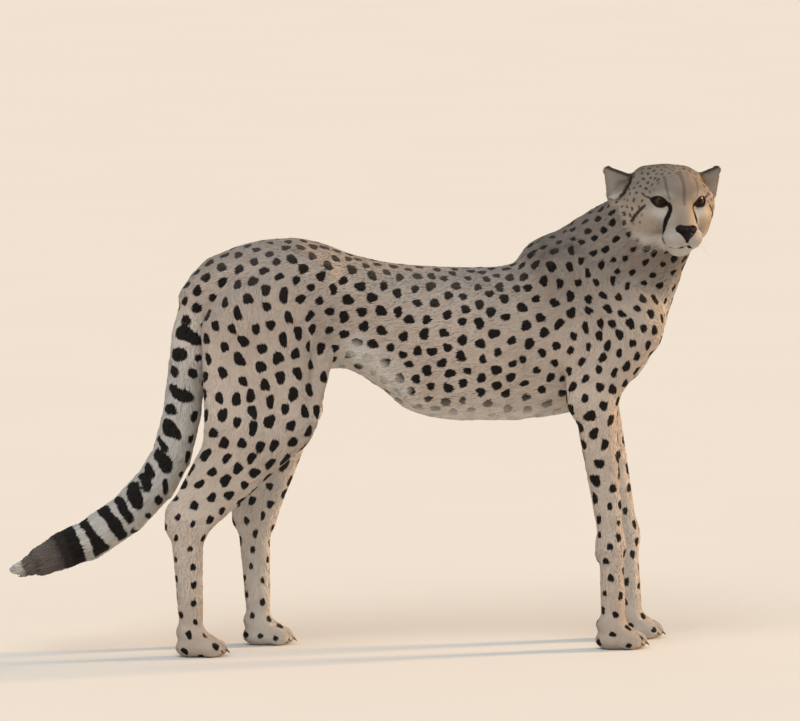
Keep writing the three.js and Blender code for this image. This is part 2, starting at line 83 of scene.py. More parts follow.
# The head's own frame: origin midway between the eyes, +X out of the face, +Y left, +Z up.
HEAD_AT = np.array([459.0, -110.0, 790.0])
HEAD_TURN = math.radians(-78)
HEAD_NOD = math.radians(9)
HEAD_ROLL = math.radians(-1.7)
HEAD_AXES = np.array(
    Matrix.Rotation(HEAD_TURN, 3, "Z")
    @ Matrix.Rotation(HEAD_NOD, 3, "Y")
    @ Matrix.Rotation(HEAD_ROLL, 3, "X")
)
EYE_AT = np.array([-8.0, 34.3, 0.0])
EYE_RADIUS = 14.5
EYE_OUTWARD = math.radians(22)
LID = 2.4  # thickness of the lids over the eyeball
# The gap between the lids, from the eye's centre: corners and greatest bow of each lid, (outward, up).
LID_INNER = (-15.0, -2.4)
LID_OUTER = (14.0, 2.2)
LID_BOW_UP = 8.4
LID_BOW_DOWN = 7.2
MOUTH = [(48.8, 0.4, -64.8), (45.9, 8.6, -69.9), (37.3, 23.8, -71.3), (23.3, 30.3, -65.3), (8, 28.5, -57)]
LIP_SPLIT = [(51.2, 0, -52.4), (50.8, 0, -59.4), (48, 0, -66.5)]
EARS = {
    "right": dict(side=-1, at=(-79, 79, 7), lean=45, outward=26),
    "left": dict(side=1, at=(-79, 75, 7), lean=38, outward=4),
}
# Shape of an ear in its own frame; squash evens out distances to the thinned form.
EAR = dict(low=-29, high=44, wide=30, tip=9, thin=0.42, wall=3.4, squash=0.6)
NOSE_AT = np.array([48.0, 0.0, -42.5])
NOSE_WIDE = 13.0  # from the middle to the centre of each wing

COAT_DEPTH = 3.4  # how far the skin lies inside the solids under the body's coat
FACE_DEPTH = 1.4
SOLE = 0.5  # level of the bare pads over the floor
TEAR_LINE = [
    (1, 22, 7), (6, 21, 1), (12, 21, -5), (16, 22.5, -13), (19, 27, -21), (20, 31, -29), (19, 34.5, -40),
    (18, 36.5, -51), (21, 35.5, -61), (25, 32, -70),
]
SEED = 7
BLENDS = dict(neck=30, leg=20, shoulder=24, tail=3, tail_root=19, head=16)  # roundings between the parts
FOOT_DEPTH = 1.4  # depth of the coat low on the legs

eye_low, eye_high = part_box("eye_right")
eye_right = HEAD_AT + HEAD_AXES @ (EYE_AT * (1, -1, 1))
SHIFT = np.array((eye_low + eye_high) / 2) * 1000 - eye_right  # from the design to the frame


# ---------------------------------------------------------------- fields
FAR = 80.0


def blend(a, b, k):
    """The smaller of two distances, rounded where they meet over k."""
    h = np.maximum(k - np.abs(a - b), 0) / k
    return np.minimum(a, b) - h * h * k / 4


def carve(a, b, k):
    """Form a with form b cut out of it and the edge rounded over k."""
    return -blend(-a, b, k)


def smallest(*values):
    return np.minimum.reduce(values)


def largest(*values):
    return np.maximum.reduce(values)


def smooth(low, high, value):
    """0 at low, 1 at high, and a soft step between, whichever of them is the greater."""
    t = np.clip((value - low) / (high - low), 0, 1)
    return t * t * (3 - 2 * t)


def unit(v):
    return v / np.maximum(np.linalg.norm(v, axis=1, keepdims=True), 1e-9)


def slope_of(field, p, step=0.4):
    """Gradient of a field by small differences."""
    slopes = [(field(p + step * axis) - field(p - step * axis)) / (2 * step) for axis in np.eye(3)]
    return np.stack(slopes, axis=1)


def move_onto(field, p, step, flattest):
    """The move that takes each point onto a field's surface. Slopes count as at least flattest, squared."""
    slope = slope_of(field, p, step)
    return -(field(p) / np.maximum((slope**2).sum(1), flattest))[:, None] * slope


def pressed(points, field, step):
    """A chain of points moved onto the surface of a field."""
    points = np.array(points, float)
    for _ in range(4):
        points = points + move_onto(field, points, step, 0.2)
    return points


class Form:
    """A signed distance with the box it fills, so that far points cost nothing."""

    def __init__(self, distance, low, high):
        self.distance, self.low, self.high = distance, np.array(low, float), np.array(high, float)

    def __call__(self, p):
        out = np.full(len(p), FAR)
        near = np.all((p > self.low - FAR) & (p < self.high + FAR), axis=1)
        if near.any():
            out[near] = np.minimum(self.distance(p[near]), FAR)
        return out


def union(distance, forms):
    """A form with a given distance, in the box that holds the boxes of others."""
    return Form(distance, np.min([f.low for f in forms], 0), np.max([f.high for f in forms], 0))


def oval_distance(k0, k1):
    """Distance to an oval from a point's length in units of its half sizes and of their squares."""
    return k0 * (k0 - 1) / np.maximum(k1, 1e-9)


def ball(at, size, pitch=0.0):
    """An ellipsoid, pitched nose down about the cross axis by pitch in degrees."""
    at, size = np.array(at, float), np.array(size, float)
    c, s = math.cos(math.radians(pitch)), math.sin(math.radians(pitch))
    turn = np.array([[c, 0, s], [0, 1, 0], [-s, 0, c]])

    def distance(p):
        q = (p - at) @ turn
        return oval_distance(np.linalg.norm(q / size, axis=1), np.linalg.norm(q / size**2, axis=1))

    return Form(distance, at - size.max(), at + size.max())


def limb(start, end, r0, r1, flat=1.0):
    """A round cone between two points, its cross axis scaled by flat."""
    start, end = np.array(start, float), np.array(end, float)
    axis = end - start

    def distance(p):
        d = p - start
        t = np.clip(d @ axis / (axis @ axis), 0, 1)
        d = d - t[:, None] * axis
        d[:, 1] /= flat
        return np.linalg.norm(d, axis=1) - (r0 + (r1 - r0) * t)

    big = max(r0, r1)
    return Form(distance, np.minimum(start, end) - big, np.maximum(start, end) + big)


def fuse(k, *forms):
    """Several masses blended into one another over k."""

    def distance(p):
        d = forms[0](p)
        for form in forms[1:]:
            d = blend(d, form(p), k)
        return d

    return union(distance, forms)


def along_trunk(column, x):
    """Smooth value of one column of the trunk's table at x."""
    xs, ys = TRUNK[:, 0], TRUNK[:, column]
    last = len(xs) - 1
    before, after = np.maximum(np.arange(last + 1) - 1, 0), np.minimum(np.arange(last + 1) + 1, last)
    slopes = (ys[after] - ys[before]) / (xs[after] - xs[before])
    i = np.clip(np.searchsorted(xs, x, side="right") - 1, 0, last - 1)
    step = xs[i + 1] - xs[i]
    t = np.clip((x - xs[i]) / step, 0, 1)
    t2, t3 = t * t, t * t * t
    return (
        ys[i] * (2 * t3 - 3 * t2 + 1)
        + ys[i + 1] * (3 * t2 - 2 * t3)
        + step * (slopes[i] * (t3 - 2 * t2 + t) + slopes[i + 1] * (t3 - t2))
    )


def trunk_tube(p):
    inside = np.clip(p[:, 0], TRUNK[0, 0], TRUNK[-1, 0])
    back, belly = along_trunk(1, inside), along_trunk(2, inside)
    high = (back - belly) / 2
    up = p[:, 2] - (back + belly) / 2
    wide = along_trunk(3, inside) * (1 + TRUNK_EGG * np.clip(up / high, -1, 1))
    d = oval_distance(np.hypot(p[:, 1] / wide, up / high), np.hypot(p[:, 1] / wide**2, up / high**2))
    past = p[:, 0] - inside
    return np.where(past == 0, d, np.hypot(np.maximum(d, 0), past))


def joints_of(leg):
    """A function that gives a joint's place, moved by (forward, outward, up)."""

    def at(joint, dx=0, out=0, dz=0):
        x, y, z = leg[joint]
        return (x + dx, leg["side"] * (y + out), z + dz)

    return at


def hind_leg(leg):
    at = joints_of(leg)
    return fuse(
        22,
        limb(at("hip", 22, 0, -22), at("knee", -6, -4, 6), 90, 47, 0.5),  # thigh
        limb(at("hip", -36, -8, -30), at("knee", -92, -6, 4), 48, 56, 0.6),  # hamstrings
        limb(at("hip", 128, -6, -76), at("knee", 36, -6, 14), 22, 19, 0.5),  # fold of the flank
        limb(at("knee", -80, -4, -24), at("hock", -6, 0, 26), 62, 25, 0.58),  # calf
        limb(at("knee", -4, -2, -6), at("hock", 14, 0, 0), 44, 27, 0.68),  # shin
        limb(at("hock", -14, 0, 18), at("hock", -20, 0, 0), 20, 17, 0.8),  # point of the hock
        limb(at("hock"), at("hind_paw", -8, 0, 46), 31, 20, 0.76),  # cannon
    )


def fore_leg(leg):
    at = joints_of(leg)
    return fuse(
        20,
        limb(at("scapula"), at("shoulder"), 42, 52, 0.55),  # shoulder blade
        limb(at("shoulder", -2, 4, -4), at("elbow", 8, 0, 10), 54, 42, 0.58),  # upper arm
        limb(at("scapula", 34, 8, -70), at("elbow", -2, 0, 30), 52, 38, 0.52),  # triceps
        ball(at("elbow", -8, 0, -4), (27, 20, 27)),  # point of the elbow
        limb(at("elbow", 12, 0, -8), at("wrist", 0, 0, 20), 39, 23, 0.78),  # forearm
        ball(at("wrist"), (23, 19, 30)),  # wrist
        limb(at("wrist", 2, 0, -8), at("fore_paw", -4, 0, 46), 23, 21, 0.95),  # pastern
    )


PAWS = ("hind_paw", "fore_paw")
TOES = (-1.5, -0.5, 0.5, 1.5)  # places of the toes across a paw, in spacings
TOE_SPACING = 12.5


def toe_front(place):
    """How far in front of the paw's centre a toe's own centre lies."""
    return 34 if abs(place) < 1 else 23


def with_paw(leg_form, leg, joint):
    """A leg with its paw: instep, heel pad and four toes."""
    x, y, _ = joints_of(leg)(joint)
    paw = fuse(
        10,
        ball((x, y, 32), (37, 25, 22), 28),
        ball((x - 5, y, 17), (31, 25, 20)),
        ball((x + 18, y, 17), (24, 27, 17)),
    )
    toes = [ball((x + toe_front(t), y + t * TOE_SPACING, 15), (20, 11, 15.5)) for t in TOES]

    def distance(p):
        d = blend(leg_form(p), paw(p), 12)
        for toe in toes:
            d = blend(d, toe(p), 4)
        return d

    return union(distance, [leg_form, paw, *toes])


def both(make):
    return [make(1), make(-1)]


torso = fuse(
    26,
    Form(trunk_tube, (-372, -105, 380), (428, 105, 730)),
    ball((388, 0, 566), (50, 50, 84)),  # breast
    limb((372, -2, 600), (408, -14, 660), 62, 52, 0.9),  # root of the throat
    limb((300, 0, 640), (352, -6, 676), 78, 66, 0.86),  # root of the neck
    *both(lambda s: limb((236, 22 * s, 676), (290, 34 * s, 640), 34, 40, 0.6)),  # shoulder blade tops
    limb((-330, 0, 646), (-368, -3, 616), 40, 37, 0.95),  # root of the tail
)
neck = fuse(
    30,
    limb((296, 0, 648), (356, -10, 692), 86, 76, 0.78),
    limb((356, -10, 692), (404, -32, 734), 76, 66, 0.86),
    limb((404, -32, 734), (444, -46, 762), 66, 52, 0.95),
    limb((404, 2, 704), (466, -24, 768), 60, 48, 0.95),  # outer side of the turn
    limb((398, -10, 588), (444, -40, 706), 54, 46, 0.9),  # throat
)
skull = fuse(
    13,
    ball((-52, 0, 4), (54, 52, 43)),
    *both(lambda s: ball((-72, 31 * s, 2), (46, 36, 43.5))),  # broad crown
    ball((-70, 0, 5), (46, 40, 42.5)),
    ball((-20, 0, 15), (41, 46, 34)),  # forehead
    *both(lambda s: ball((-44, 54 * s, -18), (36, 28, 38))),  # temples and cheeks
    *both(lambda s: ball((-20, 38 * s, -20), (31, 25, 26))),  # cheekbones
    *both(lambda s: ball((-33, 44 * s, -45), (36, 28, 34))),  # jaw muscles and ruff
    *both(lambda s: limb((2, 16 * s, 18), (-12, 41 * s, 16), 9, 7)),  # brows
    limb((-6, 0, 5), (32, 0, -36), 23, 16.5),  # bridge of the nose
    limb((-2, 0, -35), (24, 0, -53), 33, 26, 1.12),  # muzzle
    *both(lambda s: ball((32, 15.5 * s, -57), (21, 19.5, 17.5))),  # whisker pads
    ball((24, 0, -78), (18, 18, 12)),  # chin
    limb((-40, 0, -56), (15, 0, -75), 29, 18, 1.1),  # lower jaw
)


def tail_place(p):
    """For each point its distance to the tail, and the nearest place along it, centre and direction there."""
    starts, ends = TAIL[:-1, :3], TAIL[1:, :3]
    spans = np.linalg.norm(ends - starts, axis=1)
    travelled = np.concatenate([[0], np.cumsum(spans)])
    best, s = np.full(len(p), np.inf), np.zeros(len(p))
    centre, heading = np.zeros((len(p), 3)), np.zeros((len(p), 3))
    for i, (a, b) in enumerate(zip(starts, ends)):
        axis = b - a
        t = np.clip((p - a) @ axis / (axis @ axis), 0, 1)
        nearest = a + t[:, None] * axis
        d = np.linalg.norm(p - nearest, axis=1) - (TAIL[i, 3] + t * (TAIL[i + 1, 3] - TAIL[i, 3]))
        closer = d < best
        best[closer], s[closer] = d[closer], (travelled[i] + t * spans[i])[closer]
        centre[closer], heading[closer] = nearest[closer], axis / spans[i]
    return best, s, centre, heading


TAIL_ROOM = TAIL[:, 3].max() + 1
tail = Form(lambda p: tail_place(p)[0], TAIL[:, :3].min(0) - TAIL_ROOM, TAIL[:, :3].max(0) + TAIL_ROOM)


# ---------------------------------------------------------------- the head's detail, in its own frame
def to_head(p):
    return (p - HEAD_AT) @ HEAD_AXES


def from_head(q):
    return np.asarray(q, float) @ HEAD_AXES.T + HEAD_AT


def ear_axes(ear):
    tilt = -ear["side"] * math.radians(ear["lean"])
    turn = ear["side"] * math.radians(ear["outward"])
    return np.array(Matrix.Rotation(turn, 3, "Z") @ Matrix.Rotation(tilt, 3, "X"))


def in_ear(q, ear):
    """Points of the head's frame in an ear's own frame: +Z to its tip, +X out of its cup."""
    x, y, z = ear["at"]
    return (q - np.array([x, y * ear["side"], z])) @ ear_axes(ear)


def ear_shape(q, inset):
    low, high, wide, tip = EAR["low"], EAR["high"], EAR["wide"], EAR["tip"]
    shape = limb((0, 0, low + wide), (0, 0, high - tip), wide - inset, tip - inset)
    squeezed = np.stack([(q[:, 0] - inset * 1.4) / EAR["thin"], q[:, 1], q[:, 2]], axis=1)
    return shape.distance(squeezed) * EAR["squash"]


def cup_at(r):
    """1 inside the cup of an ear, for points in the ear's frame."""
    return smooth(1.0, -1.0, ear_shape(r, EAR["wall"])) * smooth(-6, -2, r[:, 0])


def segment_distance(p, points):
    """Distance to a chain of points, and how far along it from 0 to 1 the nearest place lies."""
    best, share = np.full(len(p), np.inf), np.zeros(len(p))
    pieces = len(points) - 1
    for i in range(pieces):
        a, b = np.array(points[i], float), np.array(points[i + 1], float)
        t = np.clip((p - a) @ (b - a) / ((b - a) @ (b - a)), 0, 1)
        d = np.linalg.norm(p - a - t[:, None] * (b - a), axis=1)
        closer = d < best
        best[closer], share[closer] = d[closer], ((i + t) / pieces)[closer]
    return best, share


def mirrored(points, side):
    return [(x, y * side, z) for x, y, z in points]


def eye_frame(side):
    """Centre, outward-across, up and gaze axes of one eye's opening."""
    out = EYE_OUTWARD * side
    gaze = np.array([math.cos(out), math.sin(out), 0.0])
    up = np.array([0.0, 0.0, 1.0])
    return EYE_AT * (1, side, 1), np.cross(up, gaze) * side, up, gaze


def opening(q, side):
    """Distance to the edge of the gap between the lids, negative in the gap, and depth along the gaze."""
    centre, across, up, gaze = eye_frame(side)
    d = q - centre
    o, u, deep = d @ across, d @ up, d @ gaze
    (o0, u0), (o1, u1) = LID_INNER, LID_OUTER
    t = (o - o0) / (o1 - o0)
    chord = u0 + (u1 - u0) * t
    bow = 4 * t * (1 - t)
    slope_up = (u1 - u0 + LID_BOW_UP * 4 * (1 - 2 * t)) / (o1 - o0)
    slope_down = (u1 - u0 - LID_BOW_DOWN * 4 * (1 - 2 * t)) / (o1 - o0)
    above = (u - chord - LID_BOW_UP * bow) / np.hypot(1, slope_up)
    below = (chord - LID_BOW_DOWN * bow - u) / np.hypot(1, slope_down)
    return np.maximum(above, below), deep


def nose_form(q):
    """The bare pad of the nose without its nostrils: a rounded triangle, point down."""
    right, left = (NOSE_AT + (-3, side * NOSE_WIDE, 4) for side in (-1, 1))
    foot = NOSE_AT + (3.5, 0, -9.5)
    middle = ball(NOSE_AT + (0, 0, -1), (9.5, 12, 9))
    d = blend(limb(right, left, 5.6, 5.6).distance(q), middle.distance(q), 4)
    for wing in (right, left):
        d = blend(d, limb(wing, foot, 5.4, 3.8).distance(q), 4)
    return d


# Shallow folds of the head: ends, width, depth (negative for a ridge), mirrored to both sides.
HEAD_FOLDS = [
    (((4, 21, -4), (14, 22, -12)), 3.5, 1.2),  # start of the tear line
    (((14, 22, -12), (20, 29, -28)), 4.5, 1.0),
    (((12, 26, 9), (2, 40, 11)), 3.0, 1.4),  # over the upper lid
    (((2, 40, 11), (-8, 50, 7)), 3.0, 1.2),
    (((6, 30, -12), (-4, 44, -11)), 4.0, 1.0),  # under the lower lid
    (((10, 0, 16), (-10, 0, 36)), 8.0, 0.6),  # furrow of the forehead
    (((17, 12, -9), (37, 12, -29)), 5.0, 1.3),  # side of the nose's bridge
    (((44, 20, -42), (22, 29, -47)), 4.5, 1.6),  # over the whisker pad
    (((27, 13, -52), (44, 11, -54)), 9.0, -1.5),  # swell of the whisker pad
    (((-8, 48, -57), (-26, 62, -38)), 10.0, 1.8),  # behind the corner of the mouth
    (((-30, 60, 4), (-16, 52, 12)), 7.0, 1.0),  # temple
]


def folds(p, table):
    """How much a table of shallow folds takes from or adds to a surface."""
    depth = np.zeros(len(p))
    for line, width, deep in table:
        low, high = np.min(line, axis=0) - 3 * width, np.max(line, axis=0) + 3 * width
        near = np.all((p > low) & (p < high), axis=1)
        if near.any():
            d, _ = segment_distance(p[near], line)
            depth[near] += deep * np.exp(-((d / width) ** 2))
    return depth


MIRRORED_HEAD_FOLDS = [
    (tuple(mirrored(line, side)), width, deep) for line, width, deep in HEAD_FOLDS for side in (1, -1)
]


def head_distance(p):
    q = to_head(p)
    d = skull(q) + FACE_DEPTH + folds(q, MIRRORED_HEAD_FOLDS)
    for side in (1, -1):
        centre = EYE_AT * (1, side, 1)
        from_eye = np.linalg.norm(q - centre, axis=1)
        gap, deep = opening(q, side)
        d = blend(d, from_eye - (EYE_RADIUS + LID), 4)
        cut = largest(gap, EYE_RADIUS - 3.5 - from_eye, -deep)
        d = carve(d, cut, 1.6)
        line, share = segment_distance(q, mirrored(MOUTH, side))
        d = blend(d, np.maximum(line - 4.2 + 1.2 * share, d - 0.8), 3)  # lips stand out a little
        d = carve(d, line - 1.7 + 0.6 * share, 1.6)
    split, _ = segment_distance(q, LIP_SPLIT)
    d = carve(d, split - 1.7, 2.0)
    d = carve(d, nose_form(q) + 1.2, 1.5)
    for ear in EARS.values():
        r = in_ear(q, ear)
        d = blend(d, ear_shape(r, 0) + 0.4, 15)
        d = carve(d, np.maximum(ear_shape(r, EAR["wall"]), -q[:, 0] - 110), 2.2)
    return d


head = Form(head_distance, HEAD_AT - 135, HEAD_AT + 135)
PARTS = {
    "trunk": torso,
    "neck": neck,
    "head": head,
    "tail": tail,
    **{f"hind_{word}": with_paw(hind_leg(leg), leg, "hind_paw") for word, leg in LEGS.items()},
    **{f"fore_{word}": with_paw(fore_leg(leg), leg, "fore_paw") for word, leg in LEGS.items()},
}
LEG_NAMES = [name for name in PARTS if name.startswith(("hind_", "fore_"))]

# Shallow folds of the trunk, mirrored to both sides as those of the head.
TRUNK_FOLDS = [
    ([(230, 60, 654), (256, 86, 560), (286, 92, 466)], 15, 3.2),  # behind the shoulder
    ([(284, 50, 694), (366, 86, 594)], 10, -3.0),  # spine of the shoulder blade
    ([(322, 60, 690), (396, 80, 606)], 16, -2.0),  # fullness in front of the shoulder blade
    ([(336, 92, 592), (318, 100, 500)], 12, 2.4),  # between upper arm and triceps
    ([(-196, 56, 706), (-150, 64, 676)], 16, -4.0),  # point of the hip
    ([(-120, 70, 640), (-92, 78, 540)], 32, 5.0),  # hollow of the flank
    ([(196, 90, 436), (104, 96, 462), (10, 94, 528), (-40, 84, 600)], 20, 2.4),  # edge of the ribs
    ([(-60, 84, 640), (220, 96, 612)], 16, 1.8),  # under the long back muscle
    ([(-200, 4, 724), (190, 4, 676)], 12, -0.8),  # ridge of the spine
]
TRUNK_FOLDS += [([(52 + 27 * i, 96, 600), (92 + 27 * i, 96, 486)], 7, -0.8) for i in range(6)]  # ribs
# Folds of the legs: places as (joint, forward, outward, up) from the joint, then width and depth.
LEG_FOLDS = [
    ([("hip", -24, 40, -36), ("knee", -74, 20, 44)], 13, 3.2),  # between thigh and hamstrings
    ([("hip", 64, 30, -60), ("knee", 10, 30, 36)], 18, -2.4),  # front of the thigh
    ([("knee", 30, 10, 12), ("knee", 26, 10, -10)], 13, -2.6),  # kneecap
    ([("knee", -60, 30, -62), ("hock", 6, 14, 62), ("hock", 2, 14, 30)], 9, 3.0),  # before the heel tendon
    ([("hock", -6, 16, -24), ("hind_paw", -16, 16, 78)], 7, 1.6),  # behind the cannon bone
    ([("elbow", 2, 30, -34), ("wrist", -6, 16, 74)], 9, 2.2),  # between the forearm's muscles
    ([("elbow", 28, 24, -26), ("elbow", 26, 20, -92)], 16, -3.0),  # swell of the forearm
    ([("wrist", -22, 4, -12), ("wrist", -22, 4, -18)], 8, -3.2),  # pad behind the wrist
    ([("wrist", -6, 14, -26), ("fore_paw", -12, 14, 72)], 7, 1.4),
]
for paw in PAWS:
    for gap in (-1, 0, 1):  # between the toes
        out = gap * TOE_SPACING
        LEG_FOLDS.append(([(paw, 10, out, 36), (paw, 38, out, 26), (paw, 52, out, 10)], 3.4, 3.2))
for paw in PAWS:
    for toe in TOES:  # over the knuckle of each
        front, out = toe_front(toe), toe * TOE_SPACING
        LEG_FOLDS.append(([(paw, front - 8, out, 32), (paw, front + 2, out, 31)], 6, -1.6))
# Creases where the neck turns to the right, on that side only, and the long muscles of the neck.
NECK_FOLDS = [
    ([(398, -94, 772), (372, -92, 640)], 8, 2.0),
    ([(428, -96, 740), (402, -84, 640)], 7, 2.4),
    ([(452, -92, 716), (428, -82, 640)], 7, 2.0),
    ([(452, 10, 730), (404, 50, 610)], 16, 2.0),
]


def joined(p):
    """Distance to the trunk, neck, legs and tail as one, before their folds."""
    whole = blend(PARTS["trunk"](p), PARTS["neck"](p), BLENDS["neck"])
    for name in LEG_NAMES:
        more = BLENDS["shoulder"] * smooth(500, 590, p[:, 2]) if name.startswith("fore_") else 0
        whole = blend(whole, PARTS[name](p), BLENDS["leg"] + more)
    return blend(whole, PARTS["tail"](p), BLENDS["tail"] + BLENDS["tail_root"] * smooth(590, 650, p[:, 2]))


def all_folds():
    """The folds of trunk, legs and neck on both sides, laid onto the body."""
    chains = [(mirrored(line, side), width, deep) for line, width, deep in TRUNK_FOLDS for side in (1, -1)]
    for leg in LEGS.values():
        at = joints_of(leg)
        chains += [([at(*place) for place in line], width, deep) for line, width, deep in LEG_FOLDS]
    return [(pressed(line, joined, 1.0), width, deep) for line, width, deep in chains + NECK_FOLDS]


def survey(p):
    """Distance to every part by name."""
    return {name: form(p) for name, form in PARTS.items()}


BODY_FOLDS = all_folds()


def body(p):
    """Distance to the whole skin."""
    whole = joined(p) + COAT_DEPTH + folds(p, BODY_FOLDS)
    whole -= smooth(150, 60, p[:, 2]) * (COAT_DEPTH - FOOT_DEPTH)
    whole = blend(whole, PARTS["head"](p), BLENDS["head"])
    return np.maximum(whole, SOLE - p[:, 2])


# ---------------------------------------------------------------- a closed mesh from a field
CORNERS = np.array([(i, j, k) for i in (0, 1) for j in (0, 1) for k in (0, 1)])
CELL = 6.4  # the coarsest cells of the skin
ROOT_CELLS = 8  # coarsest cells across a cell of the first rough search
STRIDE = 1 << 20  # more than the cells along any axis, to make one key of three numbers
NEAR_CELL = 1.9  # how far from the surface, in cells, a cell's middle may lie
LONGEST_MOVE = 2.5  # of a point of the mesh in one pass


def keys_of(cells):
    return (cells[:, 0] * STRIDE + cells[:, 1]) * STRIDE + cells[:, 2]


def only_once(cells):
    _, first = np.unique(keys_of(cells), return_index=True)
    return cells[first]


def position_in(sorted_keys, wanted):
    place = np.minimum(np.searchsorted(sorted_keys, wanted), len(sorted_keys) - 1)
    return np.where(sorted_keys[place] == wanted, place, -1)


def halves(cells):
    return (cells[:, None] * 2 + CORNERS).reshape(-1, 3)


def find_cells(field, low, high, cell, level_at):
    """Cells round the surface of a field, as a list of integer cells for each level of fineness."""

    def near(cells, size):
        d = field(low + (cells + 0.5) * size)
        return cells[np.abs(d) < NEAR_CELL * size]

    size = cell * ROOT_CELLS
    counts = np.ceil((high - low) / size).astype(int)
    cells = np.stack(np.meshgrid(*map(np.arange, counts), indexing="ij"), -1).reshape(-1, 3)
    cells = near(cells, size)
    while size > cell * 1.01:
        size /= 2
        cells = near(halves(cells), size)
    leaves = []
    level = 0
    while len(cells):
        finer = level_at(low + (cells + 0.5) * size) > level
        leaves.append(only_once(cells[~finer]) if (~finer).any() else cells[:0])
        size /= 2
        level += 1
        cells = near(halves(cells[finer]), size) if finer.any() else cells[:0]
    return leaves


def net(field, low, high, cell, level_at):
    """A closed mesh of a field's surface, with finer faces where level_at asks: points and faces."""
    low, high = np.array(low, float), np.array(high, float)
    leaves = find_cells(field, low, high, cell, level_at)
    keys = [keys_of(cells) for cells in leaves]
    offsets = np.concatenate([[0], np.cumsum([len(k) for k in keys])])
    total = offsets[-1]
    sums, counts, rings = np.zeros((total, 3)), np.zeros(total), []

    def leaf_of(cells, level):
        found = np.full(len(cells), -1)
        for coarser in range(level, -1, -1):
            if len(keys[coarser]) == 0:
                continue
            place = position_in(keys[coarser], keys_of(cells >> (level - coarser)))
            found = np.where((found < 0) & (place >= 0), place + offsets[coarser], found)
        return found

    for level, cells in enumerate(leaves):
        if len(cells) == 0:
            continue
        size = cell / 2**level
        corners = only_once((cells[:, None] + CORNERS).reshape(-1, 3))
        corner_keys = keys_of(corners)
        values = field(low + corners * size)
        for axis in range(3):
            step = np.eye(3, dtype=int)
            a, b, c = step[axis], step[(axis + 1) % 3], step[(axis + 2) % 3]
            around = np.array([0 * a, b, c, b + c])
            origins = only_once((cells[:, None] + around).reshape(-1, 3))
            v0 = values[position_in(corner_keys, keys_of(origins))]
            v1 = values[position_in(corner_keys, keys_of(origins + a))]
            crossed = (v0 < 0) != (v1 < 0)
            origins, v0, v1 = origins[crossed], v0[crossed], v1[crossed]
            ring = np.stack([leaf_of(origins - side, level) for side in (b + c, c, 0 * a, b)], axis=1)
            whole = (ring >= 0).all(axis=1)
            origins, v0, v1, ring = origins[whole], v0[whole], v1[whole], ring[whole]
            crossing = low + (origins + (v0 / (v0 - v1))[:, None] * a) * size
            for side in range(4):
                np.add.at(sums, ring[:, side], crossing)
                np.add.at(counts, ring[:, side], 1)
            rings.append(np.where((v0 < 0)[:, None], ring, ring[:, ::-1]))
    ring = np.concatenate(rings)
    used, flat = np.unique(ring, return_inverse=True)
    ring = flat.reshape(ring.shape)
    points = sums[used] / counts[used][:, None]
    repeats = ring == np.roll(ring, -1, axis=1)
    quads = ring[~repeats.any(axis=1)]
    once = ring[repeats.sum(axis=1) == 1]
    keep = ~repeats[repeats.sum(axis=1) == 1]
    return points, quads, once[keep].reshape(-1, 3)


def settled(field, points, quads, triangles, passes=2):
    """Evens out a mesh along its surface and puts its points onto the field's surface."""
    edges = np.concatenate(
        [quads[:, [i, (i + 1) % 4]] for i in range(4)] + [triangles[:, [i, (i + 1) % 3]] for i in range(3)]
    )
    edges = np.concatenate([edges, edges[:, ::-1]])
    count = np.bincount(edges[:, 0], minlength=len(points))[:, None]
    for _ in range(passes):
        total = np.stack(
            [np.bincount(edges[:, 0], points[edges[:, 1], i], len(points)) for i in range(3)], axis=1
        )
        points = points + 0.5 * (total / np.maximum(count, 1) - points)
        move = move_onto(field, points, 0.4, 0.04)
        reach = np.linalg.norm(move, axis=1, keepdims=True)
        points = points + move * np.minimum(1, LONGEST_MOVE / np.maximum(reach, 1e-9))
    return points


def skin_level(p):
    """How fine the skin's cells are: level 1 on head and feet, 2 on face and ears, 3 round lids and lips."""
    q = to_head(p)
    level = np.where((np.abs(q) < (125, 125, 110)).all(axis=1) & (q[:, 0] > -112), 1, 0)
    level = np.where(p[:, 2] < 66, 1, level)
    for leg in LEGS.values():
        for paw in PAWS:
            x, y, _ = joints_of(leg)(paw)
            toes = (np.abs(p[:, 0] - x - 34) < 24) & (np.abs(p[:, 1] - y) < 32) & (p[:, 2] < 40)
            level = np.where(toes, 2, level)
    face = (q[:, 0] > -22) & (np.abs(q[:, 1]) < 64) & (np.abs(q[:, 2] + 24) < 72)
    for ear in EARS.values():
        r = in_ear(q, ear)
        face |= (np.abs(r[:, 0]) < 22) & (np.abs(r[:, 1]) < 36) & (np.abs(r[:, 2] - 8) < 40)
    level = np.where(face, 2, level)
    for side in (1, -1):
        gap, deep = opening(q, side)
        level = np.where((gap < 5) & (deep > 0) & (deep < 24), 3, level)
        line, _ = segment_distance(q, mirrored(MOUTH, side))
        level = np.where(line < 4, 3, level)
    split, _ = segment_distance(q, LIP_SPLIT)
    return np.where(split < 4, 3, level)


# ---------------------------------------------------------------- meshes and their values
def to_metres(p):
    return (np.asarray(p) + SHIFT) / 1000


def add_values(mesh, values):
    """Named numbers or vectors for each point of a mesh."""
    for key, value in values.items():
        kind, slot = ("FLOAT", "value") if value.ndim == 1 else ("FLOAT_VECTOR", "vector")
        layer = mesh.attributes.new(key, kind, "POINT")
        layer.data.foreach_set(slot, value.astype(np.float32).ravel())


